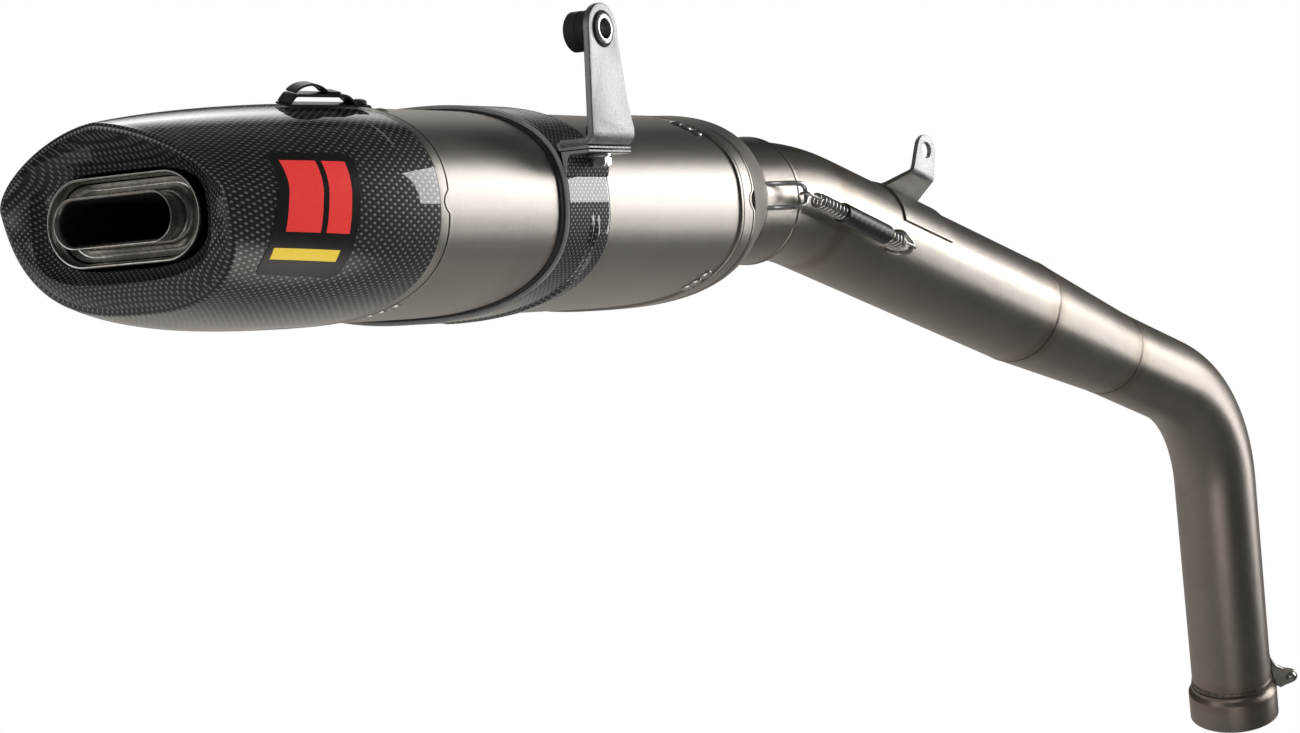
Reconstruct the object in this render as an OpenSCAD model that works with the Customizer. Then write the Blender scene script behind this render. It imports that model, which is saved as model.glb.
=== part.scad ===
// Racing exhaust system: a titanium slip-on muffler with a carbon end cap, and its link pipe.
// Frame: the origin is the centre of the inlet mouth, +Z runs up the lower pipe, and +X runs
// from the outlet towards the inlet, along the muffler. The near side of the muffler is -Y.

/* [Link pipe] */
// Outside diameter of the lower pipe
lower_d = 50.8; // [45:0.1:54]
// Outside diameter of the upper pipe
upper_d = 60.5; // [58:0.1:62]
// Wall thickness of the pipes and shells
wall = 1.2; // [0.8:0.1:1.5]
// Length from the inlet mouth to the corner of the lower bend
lower_rise = 220; // [190:1:250]
// Distance from the lower corner back to the upper corner
link_back = 440; // [400:1:480]
// Sideways offset of the muffler axis from the inlet
link_side = 46; // [20:1:70]
// Rise from the lower corner to the upper corner
link_rise = 130; // [100:1:150]
// Bend radius of the lower elbow
lower_bend_r = 104; // [70:1:130]
// Bend radius of the upper elbow
upper_bend_r = 148; // [100:1:160]
// Length of the reducer cone
cone_l = 102; // [60:1:110]
// Straight pipe between the lower elbow and the cone
cone_gap = 71; // [40:1:75]
// Forward lean of the lower pipe from top to bottom, in degrees
lower_lean = 19.5; // [0:0.1:25]
// Inside diameter of the inlet collar, for a 54 mm header pipe
collar_bore = 54.2; // [54.1:0.1:55]
// Depth of the inlet collar's bore
collar_l = 18; // [15:1:25]

/* [Muffler] */
// Width of the sleeve
sleeve_w = 163.4; // [150:0.2:170]
// Height of the sleeve
sleeve_h = 88.6; // [84:0.2:94]
// Roundness of the sleeve's section: 2 is an ellipse, higher is squarer
sleeve_n = 2.49; // [2.2:0.01:3]
// Length from the end cap to the front band
sleeve_l = 233; // [200:1:260]
// Width of the front band
front_band_l = 12; // [8:1:16]
// Width of the rear band
rear_band_l = 8; // [6:1:12]
// Length of the front cap
front_cap_l = 98; // [80:1:110]
// Length of the inlet neck
neck_l = 34; // [28:1:40]
// Depth of the slip joint in the neck
spigot_l = 30; // [20:1:32]

/* [End cap] */
// Length of the end cap
end_cap_l = 99; // [90:1:110]
// Width of the end cap's rim
rim_w = 117; // [110:1:130]
// Height of the end cap's rim
rim_h = 74.5; // [70:0.5:78]
// Rearward lean of the rim
rim_rake = 16; // [5:1:18]
// Straight half-length of the outlet's stadium section
outlet_half = 21.5; // [18:0.5:24]
// End radius of the outlet's stadium section
outlet_r = 16.8; // [15:0.1:18]

/* [Noise insert] */
// Straight half-length of the insert's mouth
insert_half = 20; // [16:0.5:21]
// End radius of the insert's mouth
insert_r = 9.4; // [8:0.1:11]
// Length of the insert
insert_l = 70; // [50:1:72]

/* [Clamp and hanger] */
// Distance from the end cap to the clamp
clamp_x = 88.5; // [70:0.5:110]
// Width of the clamp strap
clamp_l = 32.5; // [28:0.5:36]
// Thickness of the carbon strap
strap_t = 1.7; // [1.5:0.1:4]
// Thickness of the rubber lining
lining_t = 0.8; // [0.8:0.1:2]
// Height of the hanger's eye over the muffler axis
eye_rise = 71; // [66:1:90]
// Bore of the hanger's bush, for an M8 bolt
eye_bore = 8.4; // [8.2:0.1:8.6]

/* [Hidden] */
$fn = 96;

steel = "#8f8a84";
titanium = "#8d8781";
carbon = "#1c1c1e";
black = "#151515";
bright = "#c9c9c6";

// Vector helpers
function unit(v) = v / norm(v);
function arc_angle(u, v) = acos(u * v);
function mix(a, b, t) = a + (b - a) * t;
function smooth(t) = t * t * (3 - 2 * t);

// Centre line of the link pipe
lean_side = 20;
leg_side = [sin(lower_lean) * cos(lean_side), sin(lower_lean) * sin(lean_side), 0];
dir_low = unit([-leg_side[0], -leg_side[1], cos(lower_lean)]);
low_corner = dir_low * lower_rise;
high_corner = low_corner + [-link_back, link_side, link_rise];
dir_mid = unit(high_corner - low_corner);
dir_top = [-1, 0, 0];
low_turn = arc_angle(dir_low, dir_mid);
high_turn = arc_angle(dir_mid, dir_top);
low_tangent = lower_bend_r * tan(low_turn / 2);
high_tangent = upper_bend_r * tan(high_turn / 2);
low_exit = low_corner + dir_mid * low_tangent;
cone_start = low_exit + dir_mid * cone_gap;
cone_end = cone_start + dir_mid * cone_l;
high_entry = high_corner - dir_mid * high_tangent;
high_exit = high_corner + dir_top * high_tangent;
collar_top = collar_l + 3;

// Muffler frame: local x = 0 is the joint between the end cap and the rear band
neck_rise = 6;
slip_play = 0.07;
neck_start = sleeve_l + front_band_l + front_cap_l;
neck_end = neck_start + neck_l;
muffler_x = high_exit[0] - 10 - neck_end;
muffler_y = high_corner[1];
muffler_z = high_corner[2] - neck_rise;
neck_r = upper_d / 2 + slip_play + 1.9;
spigot_end = high_exit[0] - 10 - spigot_l;

// Sections of the muffler shell
sides = 72;
skin = 0.08;
shell_w = sleeve_w / 2;
shell_h = sleeve_h / 2;
band_t = 1.1;
cap_w = shell_w + band_t;
cap_h = shell_h + band_t;
core_r = 27;
tube_t = 1.2;

// Power that keeps the sign, for superellipses
function signed_pow(v, p) = sign(v) * pow(abs(v), p);
// The upper half can have its own roundness, top, and the widest point can sit higher, at nose
function oval(w, h, n, top = 0, nose = 0) = [
    for (i = [0 : sides - 1]) let (
        a = 360 * i / sides, up = i < sides / 2, k = up && top > 0 ? top : n, tall = up ? h - nose : h + nose
    ) [w * signed_pow(cos(a), 2 / k), nose + tall * signed_pow(sin(a), 2 / k)]
];
// One ring of a loft: half-sizes w and h, roundness n, at x, lifted by z, leaning by rake degrees
function ring(w, h, n, x, z = 0, rake = 0, top = 0, nose = 0) = [
    for (p = oval(w, h, n, top, nose)) [x - p[1] * tan(rake), p[0], p[1] + z]
];

// A closed shell from a loop of rings: down the outside and back along the inside
module loft(rings) {
    count = len(rings);
    polyhedron(
        points = [for (r = rings) each r],
        faces = [
            for (j = [0 : count - 1], i = [0 : sides - 1])
                let (k = (j + 1) % count, m = (i + 1) % sides,
                     a = j * sides + i, b = j * sides + m, c = k * sides + m, d = k * sides + i)
                    each [[a, c, b], [a, d, c]]
        ],
        convexity = 6
    );
}

// Extrudes a section in the YZ plane along +X from x = from
module along_x(from, length) {
    translate([from, 0, 0]) rotate([90, 0, 90]) linear_extrude(length) children();
}

module oval_shell(w, h, n, t, from, length) {
    along_x(from, length) difference() {
        polygon(oval(w, h, n));
        polygon(oval(w - t, h - t, n));
    }
}

module stadium(half, r) {
    square([2 * half, 2 * r], center = true);
    for (s = [-1, 1]) translate([s * half, 0]) circle(r);
}

module stadium_tube(half, r, t, from, length) {
    along_x(from, length) difference() {
        stadium(half, r);
        stadium(half, r - t);
    }
}

module on_muffler() translate([muffler_x, muffler_y, muffler_z]) children();

// Places a child whose local +Z should run along dir from the point at, with local +X along x_dir
module aim(at, dir, x_dir) {
    z = unit(dir);
    y = unit(cross(z, x_dir));
    x = cross(y, z);
    multmatrix([
        [x[0], y[0], z[0], at[0]],
        [x[1], y[1], z[1], at[1]],
        [x[2], y[2], z[2], at[2]],
        [0, 0, 0, 1]
    ]) children();
}

module pipe(r, t, length) {
    difference() {
        cylinder(r = r, h = length);
        translate([0, 0, -1]) cylinder(r = r - t, h = length + 2);
    }
}

// A pipe bend that starts at the point at, heading along dir and turning towards out_dir
module elbow(at, dir, out_dir, bend_r, turn, r, t) {
    side = unit(out_dir - dir * (out_dir * dir));
    centre = at + side * bend_r;
    aim(centre, cross(-side, dir), -side)
        rotate_extrude(angle = turn) translate([bend_r, 0]) difference() {
            circle(r);
            circle(r - t);
        }
}

// Round wire along a list of points, with a slightly larger ball at each corner
module wire(points, r) {
    for (i = [0 : len(points) - 2]) {
        step = points[i + 1] - points[i];
        aim(points[i], step, abs(unit(step)[0]) > 0.9 ? [0, 0, 1] : [1, 0, 0])
            cylinder(r = r, h = norm(step), $fn = 24);
    }
    for (i = [1 : len(points) - 2]) translate(points[i]) sphere(r + 0.04, $fn = 24);
}

// ---- Link pipe ----

module on_lower_leg() aim([0, 0, 0], dir_low, [1, 0, 0]) children();

module inlet_collar() {
    outer = collar_bore / 2 + wall;
    neck = lower_d / 2 + 0.8;
    color(titanium) on_lower_leg() rotate_extrude() polygon([
        [collar_bore / 2, 0], [outer, 0], [outer, collar_l], [neck, collar_top], [neck, collar_top + 2],
        [lower_d / 2 + 0.05, collar_top + 2], [lower_d / 2 + 0.05, collar_l + 1],
        [lower_d / 2 - wall, collar_l + 1], [lower_d / 2 - wall, collar_l],
        [collar_bore / 2, collar_l]
    ]);
}

// Spring hook on the collar: a welded gusset with a rounded end and a ball stud
hook_z = 21.5;
hook_side = -57;
module inlet_hook() {
    root = collar_bore / 2 + wall;
    color(bright) on_lower_leg() rotate([0, 0, hook_side]) difference() {
        union() {
            translate([root + 9.5, 0, hook_z]) sphere(3.4, $fn = 48);
            translate([0, 1.6, 0]) rotate([90, 0, 0]) linear_extrude(3.2) {
                polygon([
                    [root - 6, hook_z - 9], [root + 2, hook_z - 7.5], [root + 9.5, hook_z - 4.8],
                    [root + 9.5, hook_z + 4.8], [root + 1, hook_z + 9], [root - 2, hook_z + 15],
                    [root - 6, hook_z + 19]
                ]);
                translate([root + 9.5, hook_z]) circle(4.8);
            }
        }
        translate([0, 0, -5]) cylinder(r = root + 0.05, h = collar_l + 5.02);
        translate([0, 0, collar_l])
            cylinder(r1 = root + 0.05, r2 = lower_d / 2 + 0.85, h = collar_top - collar_l);
        cylinder(r = lower_d / 2 + 0.85, h = 60);
    }
}

joint_gap = 0.02;
module lower_pipe() {
    color(titanium) on_lower_leg() translate([0, 0, collar_l + 1])
        pipe(lower_d / 2, wall, lower_rise - low_tangent - collar_l - 1 - joint_gap);
}
module lower_elbow() {
    color(titanium)
        elbow(low_corner - dir_low * low_tangent, dir_low, dir_mid, lower_bend_r, low_turn, lower_d / 2, wall);
}
module middle_pipe() {
    color(titanium) aim(low_exit + dir_mid * joint_gap, dir_mid, [0, 0, 1])
        pipe(lower_d / 2, wall, cone_gap - 2 * joint_gap);
}

module reducer_cone() {
    color(titanium) aim(cone_start, dir_mid, [0, 0, 1]) difference() {
        cylinder(r1 = lower_d / 2, r2 = upper_d / 2, h = cone_l);
        translate([0, 0, -0.01]) cylinder(r1 = lower_d / 2 - wall, r2 = upper_d / 2 - wall, h = cone_l + 0.02);
    }
}

module upper_pipe() {
    color(titanium) aim(cone_end + dir_mid * joint_gap, dir_mid, [0, 0, 1])
        pipe(upper_d / 2, wall, norm(high_entry - cone_end) - 2 * joint_gap);
}
module upper_elbow() {
    color(titanium) elbow(high_entry, dir_mid, dir_top, upper_bend_r, high_turn, upper_d / 2, wall);
}
module slip_spigot() {
    color(titanium) translate([spigot_end, high_corner[1], high_corner[2]]) rotate([0, 90, 0])
        pipe(upper_d / 2, wall, high_exit[0] - spigot_end - joint_gap);
}

// Raised weld beads round the joints of the link pipe
bead = 0.7;
module bead_ring(at, dir, r) {
    aim(at, dir, [0, 1, 0]) rotate_extrude() translate([r + 0.02, 0])
        polygon([[0, -2.2], [bead * 0.7, -1.2], [bead, 0], [bead * 0.7, 1.2], [0, 2.2]]);
}
module weld_seams() {
    color(steel) {
        bead_ring(dir_low * (collar_top + 4.4), dir_low, lower_d / 2);
        bead_ring(cone_start - dir_mid * 2.6, dir_mid, lower_d / 2);
        bead_ring(cone_end + dir_mid * 2.6, dir_mid, upper_d / 2);
    }
}

// Frame on the upper pipe: +Z along it towards the muffler, +X away from it on top, +Y inboard
mid_side = unit(cross(dir_mid, [0, 0, 1]));
mid_up = cross(mid_side, dir_mid);
module on_upper_pipe(distance) aim(cone_end + dir_mid * distance, dir_mid, [0, 0, 1]) children();
// A point beside the upper pipe: distance along it, radius and angle from its top towards inboard
function beside_pipe(distance, r, angle) =
    cone_end + dir_mid * distance + mid_up * (r * cos(angle)) + mid_side * (r * sin(angle));

bracket_at = 130;
bracket_l = 34;
bracket_t = 2.5;
tab_l = 20;
tab_rise = 24;
tab_hole = 8.5;
doubler_t = 1.2;

module bracket_doubler() {
    color(titanium) on_upper_pipe(bracket_at - 16) rotate([0, 0, -76])
        rotate_extrude(angle = 88) translate([upper_d / 2 + 0.04, 0]) square([doubler_t, bracket_l + 12]);
}

module pipe_bracket() {
    foot = [upper_d / 2 + doubler_t + 1.3, -3];
    bend = foot + [9, -14];
    slope = norm(bend - foot);
    tab_r = tab_l / 2 - 1.5;
    color(bright) on_upper_pipe(bracket_at) {
        // foot plate, wider where it is welded to the pipe
        aim([foot[0], foot[1], 0], [bend[0] - foot[0], bend[1] - foot[1], 0], [0, 0, 1])
            translate([0, bracket_t / 2, 0]) rotate([90, 0, 0]) linear_extrude(bracket_t)
                polygon([
                    [-bracket_l / 2, 0], [bracket_l / 2, 0], [tab_l / 2, slope], [-tab_l / 2, slope]
                ]);
        // upright tab with the bolt hole
        translate([bend[0] - 0.6, bend[1] + bracket_t / 2 - 0.4, 0]) rotate([90, 0, 0])
            linear_extrude(bracket_t) difference() {
                union() {
                    translate([0, -tab_l / 2]) square([2, tab_l]);
                    polygon([
                        [0, -tab_l / 2], [0, tab_l / 2],
                        [tab_rise - tab_r, tab_r], [tab_rise - tab_r, -tab_r]
                    ]);
                    translate([tab_rise - tab_r, 0]) circle(tab_r);
                }
                translate([tab_rise - tab_r, 0]) circle(tab_hole / 2);
            }
    }
}

// Springs: each runs from a wire hook on the neck to a wire hook on the pipe
wire_r = 1.3;
hook_out = 8.5;
pipe_hook_at = 170;
pipe_hook_angle = 104;
module pipe_hook(side) {
    a = side * pipe_hook_angle;
    spread = 9;
    root = upper_d / 2 - 0.2;
    color(bright) difference() {
        wire([
            beside_pipe(pipe_hook_at, root, a - spread),
            beside_pipe(pipe_hook_at + 3, root + hook_out, a - spread),
            beside_pipe(pipe_hook_at - 6, root + hook_out + 1.5, a),
            beside_pipe(pipe_hook_at + 3, root + hook_out, a + spread),
            beside_pipe(pipe_hook_at, root, a + spread)
        ], wire_r);
        aim(cone_end, dir_mid, [0, 0, 1]) cylinder(r = upper_d / 2 + 0.02, h = 230);
    }
}
module pipe_hook_near() pipe_hook(-1);
module pipe_hook_far() pipe_hook(1);

// ---- Muffler shell ----

module inlet_neck() {
    color(titanium) on_muffler() translate([neck_start + skin, 0, neck_rise]) rotate([0, 90, 0]) difference() {
        union() {
            cylinder(r = neck_r, h = neck_l - skin);
            translate([0, 0, neck_l - skin - 2.5]) cylinder(r = neck_r + 0.5, h = 2.5);
        }
        translate([0, 0, -1]) cylinder(r = upper_d / 2 + slip_play, h = neck_l + 2);
    }
}

front_cap_start = sleeve_l + front_band_l;
function front_ring(t, inset) = let (s = pow(t, 1.12)) ring(
    mix(cap_w, neck_r, s) - inset, mix(cap_h, neck_r, pow(t, 1.6)) - inset,
    mix(sleeve_n, 2, min(1, t * 1.2)),
    front_cap_start + skin + t * (front_cap_l - skin), neck_rise * smooth(min(1, t * 1.7))
);
module front_cap() {
    steps = 9;
    color(titanium) on_muffler() loft(concat(
        [for (i = [0 : steps]) front_ring(i / steps, 0)],
        [for (i = [0 : steps]) front_ring(1 - i / steps, 1.5)]
    ));
}

// A band round the sleeve with a small arrow notch at the near and far nose of one edge
module band(from, length, notch) {
    difference() {
        oval_shell(cap_w, cap_h, sleeve_n, band_t - skin, from, length);
        for (s = [-1, 1]) translate([0, s * cap_w, 0]) rotate([90, 0, 0])
            linear_extrude(8, center = true) polygon([
                [from + length - notch, 0], [from + length + 1, notch + 1], [from + length + 1, -notch - 1]
            ]);
    }
}
module front_band() color(titanium) on_muffler() band(sleeve_l, front_band_l, 3.6);
module rear_band() color(titanium) on_muffler() band(skin, rear_band_l, 3.6);

sleeve_tuck = 16;
sleeve_t = 1;
module outer_sleeve() {
    color(titanium) on_muffler() difference() {
        oval_shell(shell_w, shell_h, sleeve_n, sleeve_t, -sleeve_tuck, sleeve_l + front_band_l + sleeve_tuck);
        for (row = rivet_rows, a = rivet_angles(row))
            on_sleeve(row[0], a) translate([0, 0, -4]) cylinder(r = 1.6, h = 8, $fn = 32);
    }
}

// End cap: the outside runs from the rear band to a raked rim, then folds in to the outlet pocket
rim_n = 2.7;
rim_top = 1.5;
rim_nose = 7.5;
crease_w = 46;
crease_h = 24.5;
pocket_w = 40.4;
pocket_h = 19.4;
pocket_n = 3.3;
cap_t = 2.2;
function cap_half_w(t) = mix(cap_w, rim_w / 2, pow(t, 2.1));
function cap_half_h(t) = mix(cap_h, rim_h / 2, pow(t, 2.2));
function cap_n(t) = mix(sleeve_n, rim_n, pow(t, 1.3));
function cap_top(t) = mix(sleeve_n, rim_top, pow(t, 1.3));
function cap_nose(t) = rim_nose * pow(t, 1.6);
function cap_ring(t, inset) = ring(
    cap_half_w(t) - inset, cap_half_h(t) - inset, cap_n(t), -t * (end_cap_l - 3), 0, rim_rake * t * t,
    cap_top(t), cap_nose(t)
);
// Half-width of the cap at height z
function cap_side(t, z, lift) = let (
    up = z > cap_nose(t), n = up ? cap_top(t) : cap_n(t),
    tall = cap_half_h(t) + lift + (up ? -1 : 1) * cap_nose(t)
) (cap_half_w(t) + lift) * pow(1 - pow(abs(z - cap_nose(t)) / tall, n), 1 / n);
// Height of the cap's upper side at x and y
function cap_height(x, y) = let (t = -x / (end_cap_l - 3), n = cap_top(t))
    cap_nose(t) + (cap_half_h(t) - cap_nose(t)) * pow(1 - pow(abs(y) / cap_half_w(t), n), 1 / n);
// The flat face, from the rim (u = 0) to a crease round the pocket (u = 1), at a depth behind the surface
function face_ring(u, depth) = ring(
    mix(rim_w / 2 - 3, crease_w, u), mix(rim_h / 2 - 3, crease_h, u), mix(rim_n, pocket_n, u),
    -end_cap_l + 0.6 + u * 2.6 + depth, 0, rim_rake * pow(1 - u, 1.1),
    mix(rim_top, pocket_n, pow(u, 0.8)), rim_nose * (1 - u)
);
module end_cap() {
    steps = 10;
    folds = 5;
    color(carbon) on_muffler() loft(concat(
        [for (i = [0 : steps]) cap_ring(i / steps, 0)],
        [ring(rim_w / 2 - 0.9, rim_h / 2 - 0.9, rim_n, -end_cap_l + 1, 0, rim_rake, rim_top, rim_nose)],
        [for (i = [0 : folds]) face_ring(i / folds, 0)],
        [ring(pocket_w, pocket_h, pocket_n, -end_cap_l + 8)],
        [ring(pocket_w, pocket_h, pocket_n, -end_cap_l + 16)],
        [ring(pocket_w + cap_t, pocket_h + cap_t, pocket_n, -end_cap_l + 16)],
        [ring(pocket_w + cap_t, pocket_h + cap_t, pocket_n, -end_cap_l + 10)],
        [for (i = [0 : folds - 1]) face_ring(1 - i / folds, cap_t + 0.6)],
        [for (i = [1 : steps - 3]) cap_ring(1 - i / steps, cap_t)],
        [ring(shell_w + skin, shell_h + skin, sleeve_n, -sleeve_tuck - 2)],
        [ring(shell_w + skin, shell_h + skin, sleeve_n, 0)]
    ));
}

// Rivets stand on the sleeve in rows beside the bands. A point of the section is at angle a
// Each row of blind rivets: distance along the sleeve, and the angle of its first rivet
rivet_rows = [[12.5, 109], [sleeve_l - 5, 126]];
function rivet_angles(row) = [for (m = [0, 180], s = [-1, 1], d = [0, 4.8, 11.2]) m + s * (row[1] + d)];
module on_sleeve(x, a) {
    p = [shell_w * signed_pow(cos(a), 2 / sleeve_n), shell_h * signed_pow(sin(a), 2 / sleeve_n)];
    g = [
        signed_pow(p[0] / shell_w, sleeve_n - 1) / shell_w,
        signed_pow(p[1] / shell_h, sleeve_n - 1) / shell_h
    ];
    aim([x, p[0], p[1]], [0, g[0], g[1]], [1, 0, 0]) children();
}
module rivet() {
    rotate_extrude($fn = 32) polygon([
        [0, -2.4], [1.45, -2.4], [1.45, 0.15], [2.9, 0.15], [2.7, 0.8], [2, 1.35], [1.1, 1.6], [0, 1.65]
    ]);
}
module rivet_row(row) color(bright) on_muffler() for (a = rivet_angles(row)) on_sleeve(row[0], a) rivet();
module rear_rivets() rivet_row(rivet_rows[0]);
module front_rivets() rivet_row(rivet_rows[1]);

// ---- Inside the muffler ----

core_start = -6;
core_end = neck_start - 4;
module core_tube() {
    row_pitch = 38;
    color(steel) on_muffler() translate([core_start, 0, 0]) rotate([0, 90, 0]) difference() {
        pipe(core_r, tube_t, core_end - core_start - front_cap_l + 20);
        for (i = [0 : 5], a = [20, 110])
            translate([0, 0, 24 + i * row_pitch]) rotate([0, 90, a + (i % 2) * 45])
                cylinder(r = 6, h = 80, center = true);
    }
}
module packing_wool() {
    inset = sleeve_t + 1.6;
    color("#d9cfae") on_muffler() along_x(4, sleeve_l - 8) difference() {
        polygon(oval(shell_w - inset, shell_h - inset, sleeve_n));
        circle(core_r + 0.1);
    }
}
module baffle(x, w, h, n) {
    color(steel) on_muffler() along_x(x, 1.5) difference() {
        polygon(oval(w, h, n));
        children();
    }
}
module end_baffle(x) {
    gap = sleeve_t + 0.2;
    baffle(x, shell_w - gap, shell_h - gap, sleeve_n) circle(core_r + skin);
}
module front_baffle() end_baffle(sleeve_l + 2);
module rear_baffle() end_baffle(-1);
outlet_x = -end_cap_l + 6;
outlet_inner = end_cap_l - 30;
module outlet_baffle() baffle(-30, 68, 36, 2.1) stadium(outlet_half, outlet_r + skin);
module outlet_tube() {
    lip_t = 0.9;
    color(steel) on_muffler() {
        stadium_tube(outlet_half, outlet_r, wall, outlet_x, outlet_inner);
        stadium_tube(outlet_half, outlet_r + lip_t, wall + lip_t, outlet_x - 1.2, 3.4);
    }
}

// ---- Wire hooks on the neck ----

neck_hook_x = neck_start + 4;
neck_hook_l = 21;
// One bent wire with round sections, lying on the neck at both ends
module neck_hook(side) {
    half = 6;
    low = sqrt(pow(neck_r, 2) - half * half) + wire_r + 0.3;
    bend = [[-2, low, half], [3, low + 0.4, half], [9, low + 2.6, half], [15, low + 5.2, half - 0.4],
        [19, low + 6.6, half - 2.2], [neck_hook_l, low + 7, half - 4.7]];
    count = len(bend);
    path = [
        for (i = [0 : 2 * count - 1]) let (up = i < count, p = bend[up ? i : 2 * count - 1 - i])
            [neck_hook_x + p[0], side * p[1], neck_rise + (up ? p[2] : -p[2])]
    ];
    last = len(path) - 1;
    spokes = 16;
    rings = [
        for (i = [0 : last]) let (
            along = unit(path[min(last, i + 1)] - path[max(0, i - 1)]),
            across = unit(cross(along, [0, 1, 0])), out = cross(along, across)
        ) [for (k = [0 : spokes - 1]) let (a = 360 * k / spokes)
            path[i] + wire_r * (cos(a) * across + sin(a) * out)]
    ];
    color(bright) on_muffler() polyhedron(
        points = [for (r = rings) each r],
        faces = concat(
            [[for (k = [0 : spokes - 1]) k], [for (k = [0 : spokes - 1]) last * spokes + spokes - 1 - k]],
            [for (i = [0 : last - 1], k = [0 : spokes - 1])
                let (m = (k + 1) % spokes, p = i * spokes)
                    each [[p + k, p + spokes + k, p + spokes + m], [p + k, p + spokes + m, p + m]]]
        )
    );
}
module neck_hook_near() neck_hook(-1);
module neck_hook_far() neck_hook(1);

// ---- Carbon clamp and hanger ----

strap_in = lining_t + 2 * skin;
strap_w = shell_w + strap_in + strap_t;
strap_h = shell_h + strap_in + strap_t;
ear_out = strap_w + 12;
ear_top = 22.3;
ear_t = 3;
ear_slit = 0.5;
bolt_x = clamp_x + clamp_l / 2;
bolt_y = -strap_w - 6.4;
arm_t = 3;
foot_top = ear_top + 0.05 + arm_t;
module clamp_lining() {
    out = skin + lining_t;
    color(black) on_muffler()
        oval_shell(shell_w + out, shell_h + out, sleeve_n, lining_t, clamp_x - 3, clamp_l + 4);
}
module clamp_strap() {
    color(carbon) on_muffler() difference() {
        along_x(clamp_x, clamp_l) difference() {
            union() {
                polygon(oval(strap_w, strap_h, sleeve_n));
                polygon([
                    [-shell_w + 12, ear_top], [-ear_out, ear_top], [-ear_out, ear_top - ear_t],
                    [-strap_w - 1.2, ear_top - ear_t], [-strap_w - 0.6, ear_top - ear_t - 1.2],
                    [-strap_w - 0.2, ear_top - ear_t - 4], [-strap_w + 0.4, ear_top - 15],
                    [-shell_w + 12, ear_top - 15]
                ]);
            }
            polygon(oval(shell_w + strap_in, shell_h + strap_in, sleeve_n));
            translate([-ear_out - 1, ear_top - ear_t / 2 - ear_slit / 2])
                square([ear_out - shell_w + 14, ear_slit]);
        }
        translate([bolt_x, bolt_y, 0]) cylinder(r = 3.2, h = 40, $fn = 48);
    }
}
module hex(r, h) cylinder(r = r, h = h, $fn = 6);
washer_t = 1.4;
module clamp_bolt() {
    head_top = ear_top - ear_t - washer_t - 0.1;
    color(bright) on_muffler() translate([bolt_x, bolt_y, 0]) {
        translate([0, 0, head_top - 4]) hex(5, 4);
        translate([0, 0, head_top - 0.01]) cylinder(r = 3, h = foot_top + 9 - head_top, $fn = 48);
    }
}
module washer(z) translate([bolt_x, bolt_y, z]) difference() {
    cylinder(r = 5, h = washer_t, $fn = 48);
    translate([0, 0, -1]) cylinder(r = 3.1, h = washer_t + 2, $fn = 48);
}
module clamp_washers() {
    color(bright) on_muffler() {
        washer(ear_top - ear_t - washer_t - 0.05);
        washer(foot_top + 0.05);
    }
}
module clamp_nut() {
    color(bright) on_muffler() translate([bolt_x, bolt_y, foot_top + washer_t + 0.1]) difference() {
        hex(5, 5);
        translate([0, 0, -1]) cylinder(r = 3.02, h = 8, $fn = 48);
    }
}
eye_x = clamp_x + 12.5;
eye_r = 11;
arm_y = -ear_out - arm_t - 0.05;
module hanger_arm() {
    hole_r = 7.6;
    color("#b9bab9") on_muffler() difference() {
        union() {
            translate([0, arm_y + arm_t, 0]) rotate([90, 0, 0]) linear_extrude(arm_t) union() {
                polygon([
                    [clamp_x - 0.5, ear_top + 0.05], [clamp_x + clamp_l - 1.5, ear_top + 0.05],
                    [clamp_x + clamp_l - 5, ear_top + 20], [eye_x + eye_r - 0.2, eye_rise - 2],
                    [eye_x - eye_r + 0.2, eye_rise - 2]
                ]);
                translate([eye_x, eye_rise]) circle(eye_r);
            }
            translate([clamp_x - 0.5, arm_y, ear_top + 0.05])
                cube([clamp_l - 1, ear_out - strap_w + 2, arm_t]);
        }
        translate([bolt_x, bolt_y, 0]) cylinder(r = 3.2, h = 60, $fn = 48);
        translate([eye_x, 0, eye_rise]) rotate([90, 0, 0]) cylinder(r = hole_r, h = 200);
    }
}
grommet_in = 12;
bush_r = 5.4;
module hanger_grommet() {
    color(black) on_muffler() translate([eye_x, arm_y + arm_t, eye_rise]) rotate([90, 0, 0]) difference() {
        union() {
            translate([0, 0, -grommet_in]) cylinder(r = 8.6, h = grommet_in - 0.05);
            translate([0, 0, -0.05]) cylinder(r = 7.52, h = arm_t + 0.1);
        }
        translate([0, 0, -grommet_in - 1]) cylinder(r = bush_r + 0.04, h = 40);
    }
}
module hanger_bush() {
    color(bright) on_muffler() translate([eye_x, arm_y, eye_rise]) rotate([90, 0, 0]) difference() {
        union() {
            translate([0, 0, 0.1]) cylinder(r = 6.6, h = 1.2);
            translate([0, 0, -grommet_in - arm_t - 0.5]) cylinder(r = bush_r, h = grommet_in + arm_t + 1);
        }
        translate([0, 0, -40]) cylinder(r = eye_bore / 2, h = 60);
    }
}

// ---- Small bracket on top of the end cap ----

shield_x = -20;
shield_y = -41;
shield_turn = 22;
shield_l = 33;
shield_w = 10;
shield_h = 5;
sheet_t = 1.4;
module on_cap_top() {
    x = shield_x;
    y = shield_y;
    on_muffler() aim(
        [x, y, cap_height(x, y) + 0.6],
        [cap_height(x - 1, y) - cap_height(x + 1, y), cap_height(x, y - 1) - cap_height(x, y + 1), 2],
        [cos(shield_turn), -sin(shield_turn), 0]
    ) children();
}
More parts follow.
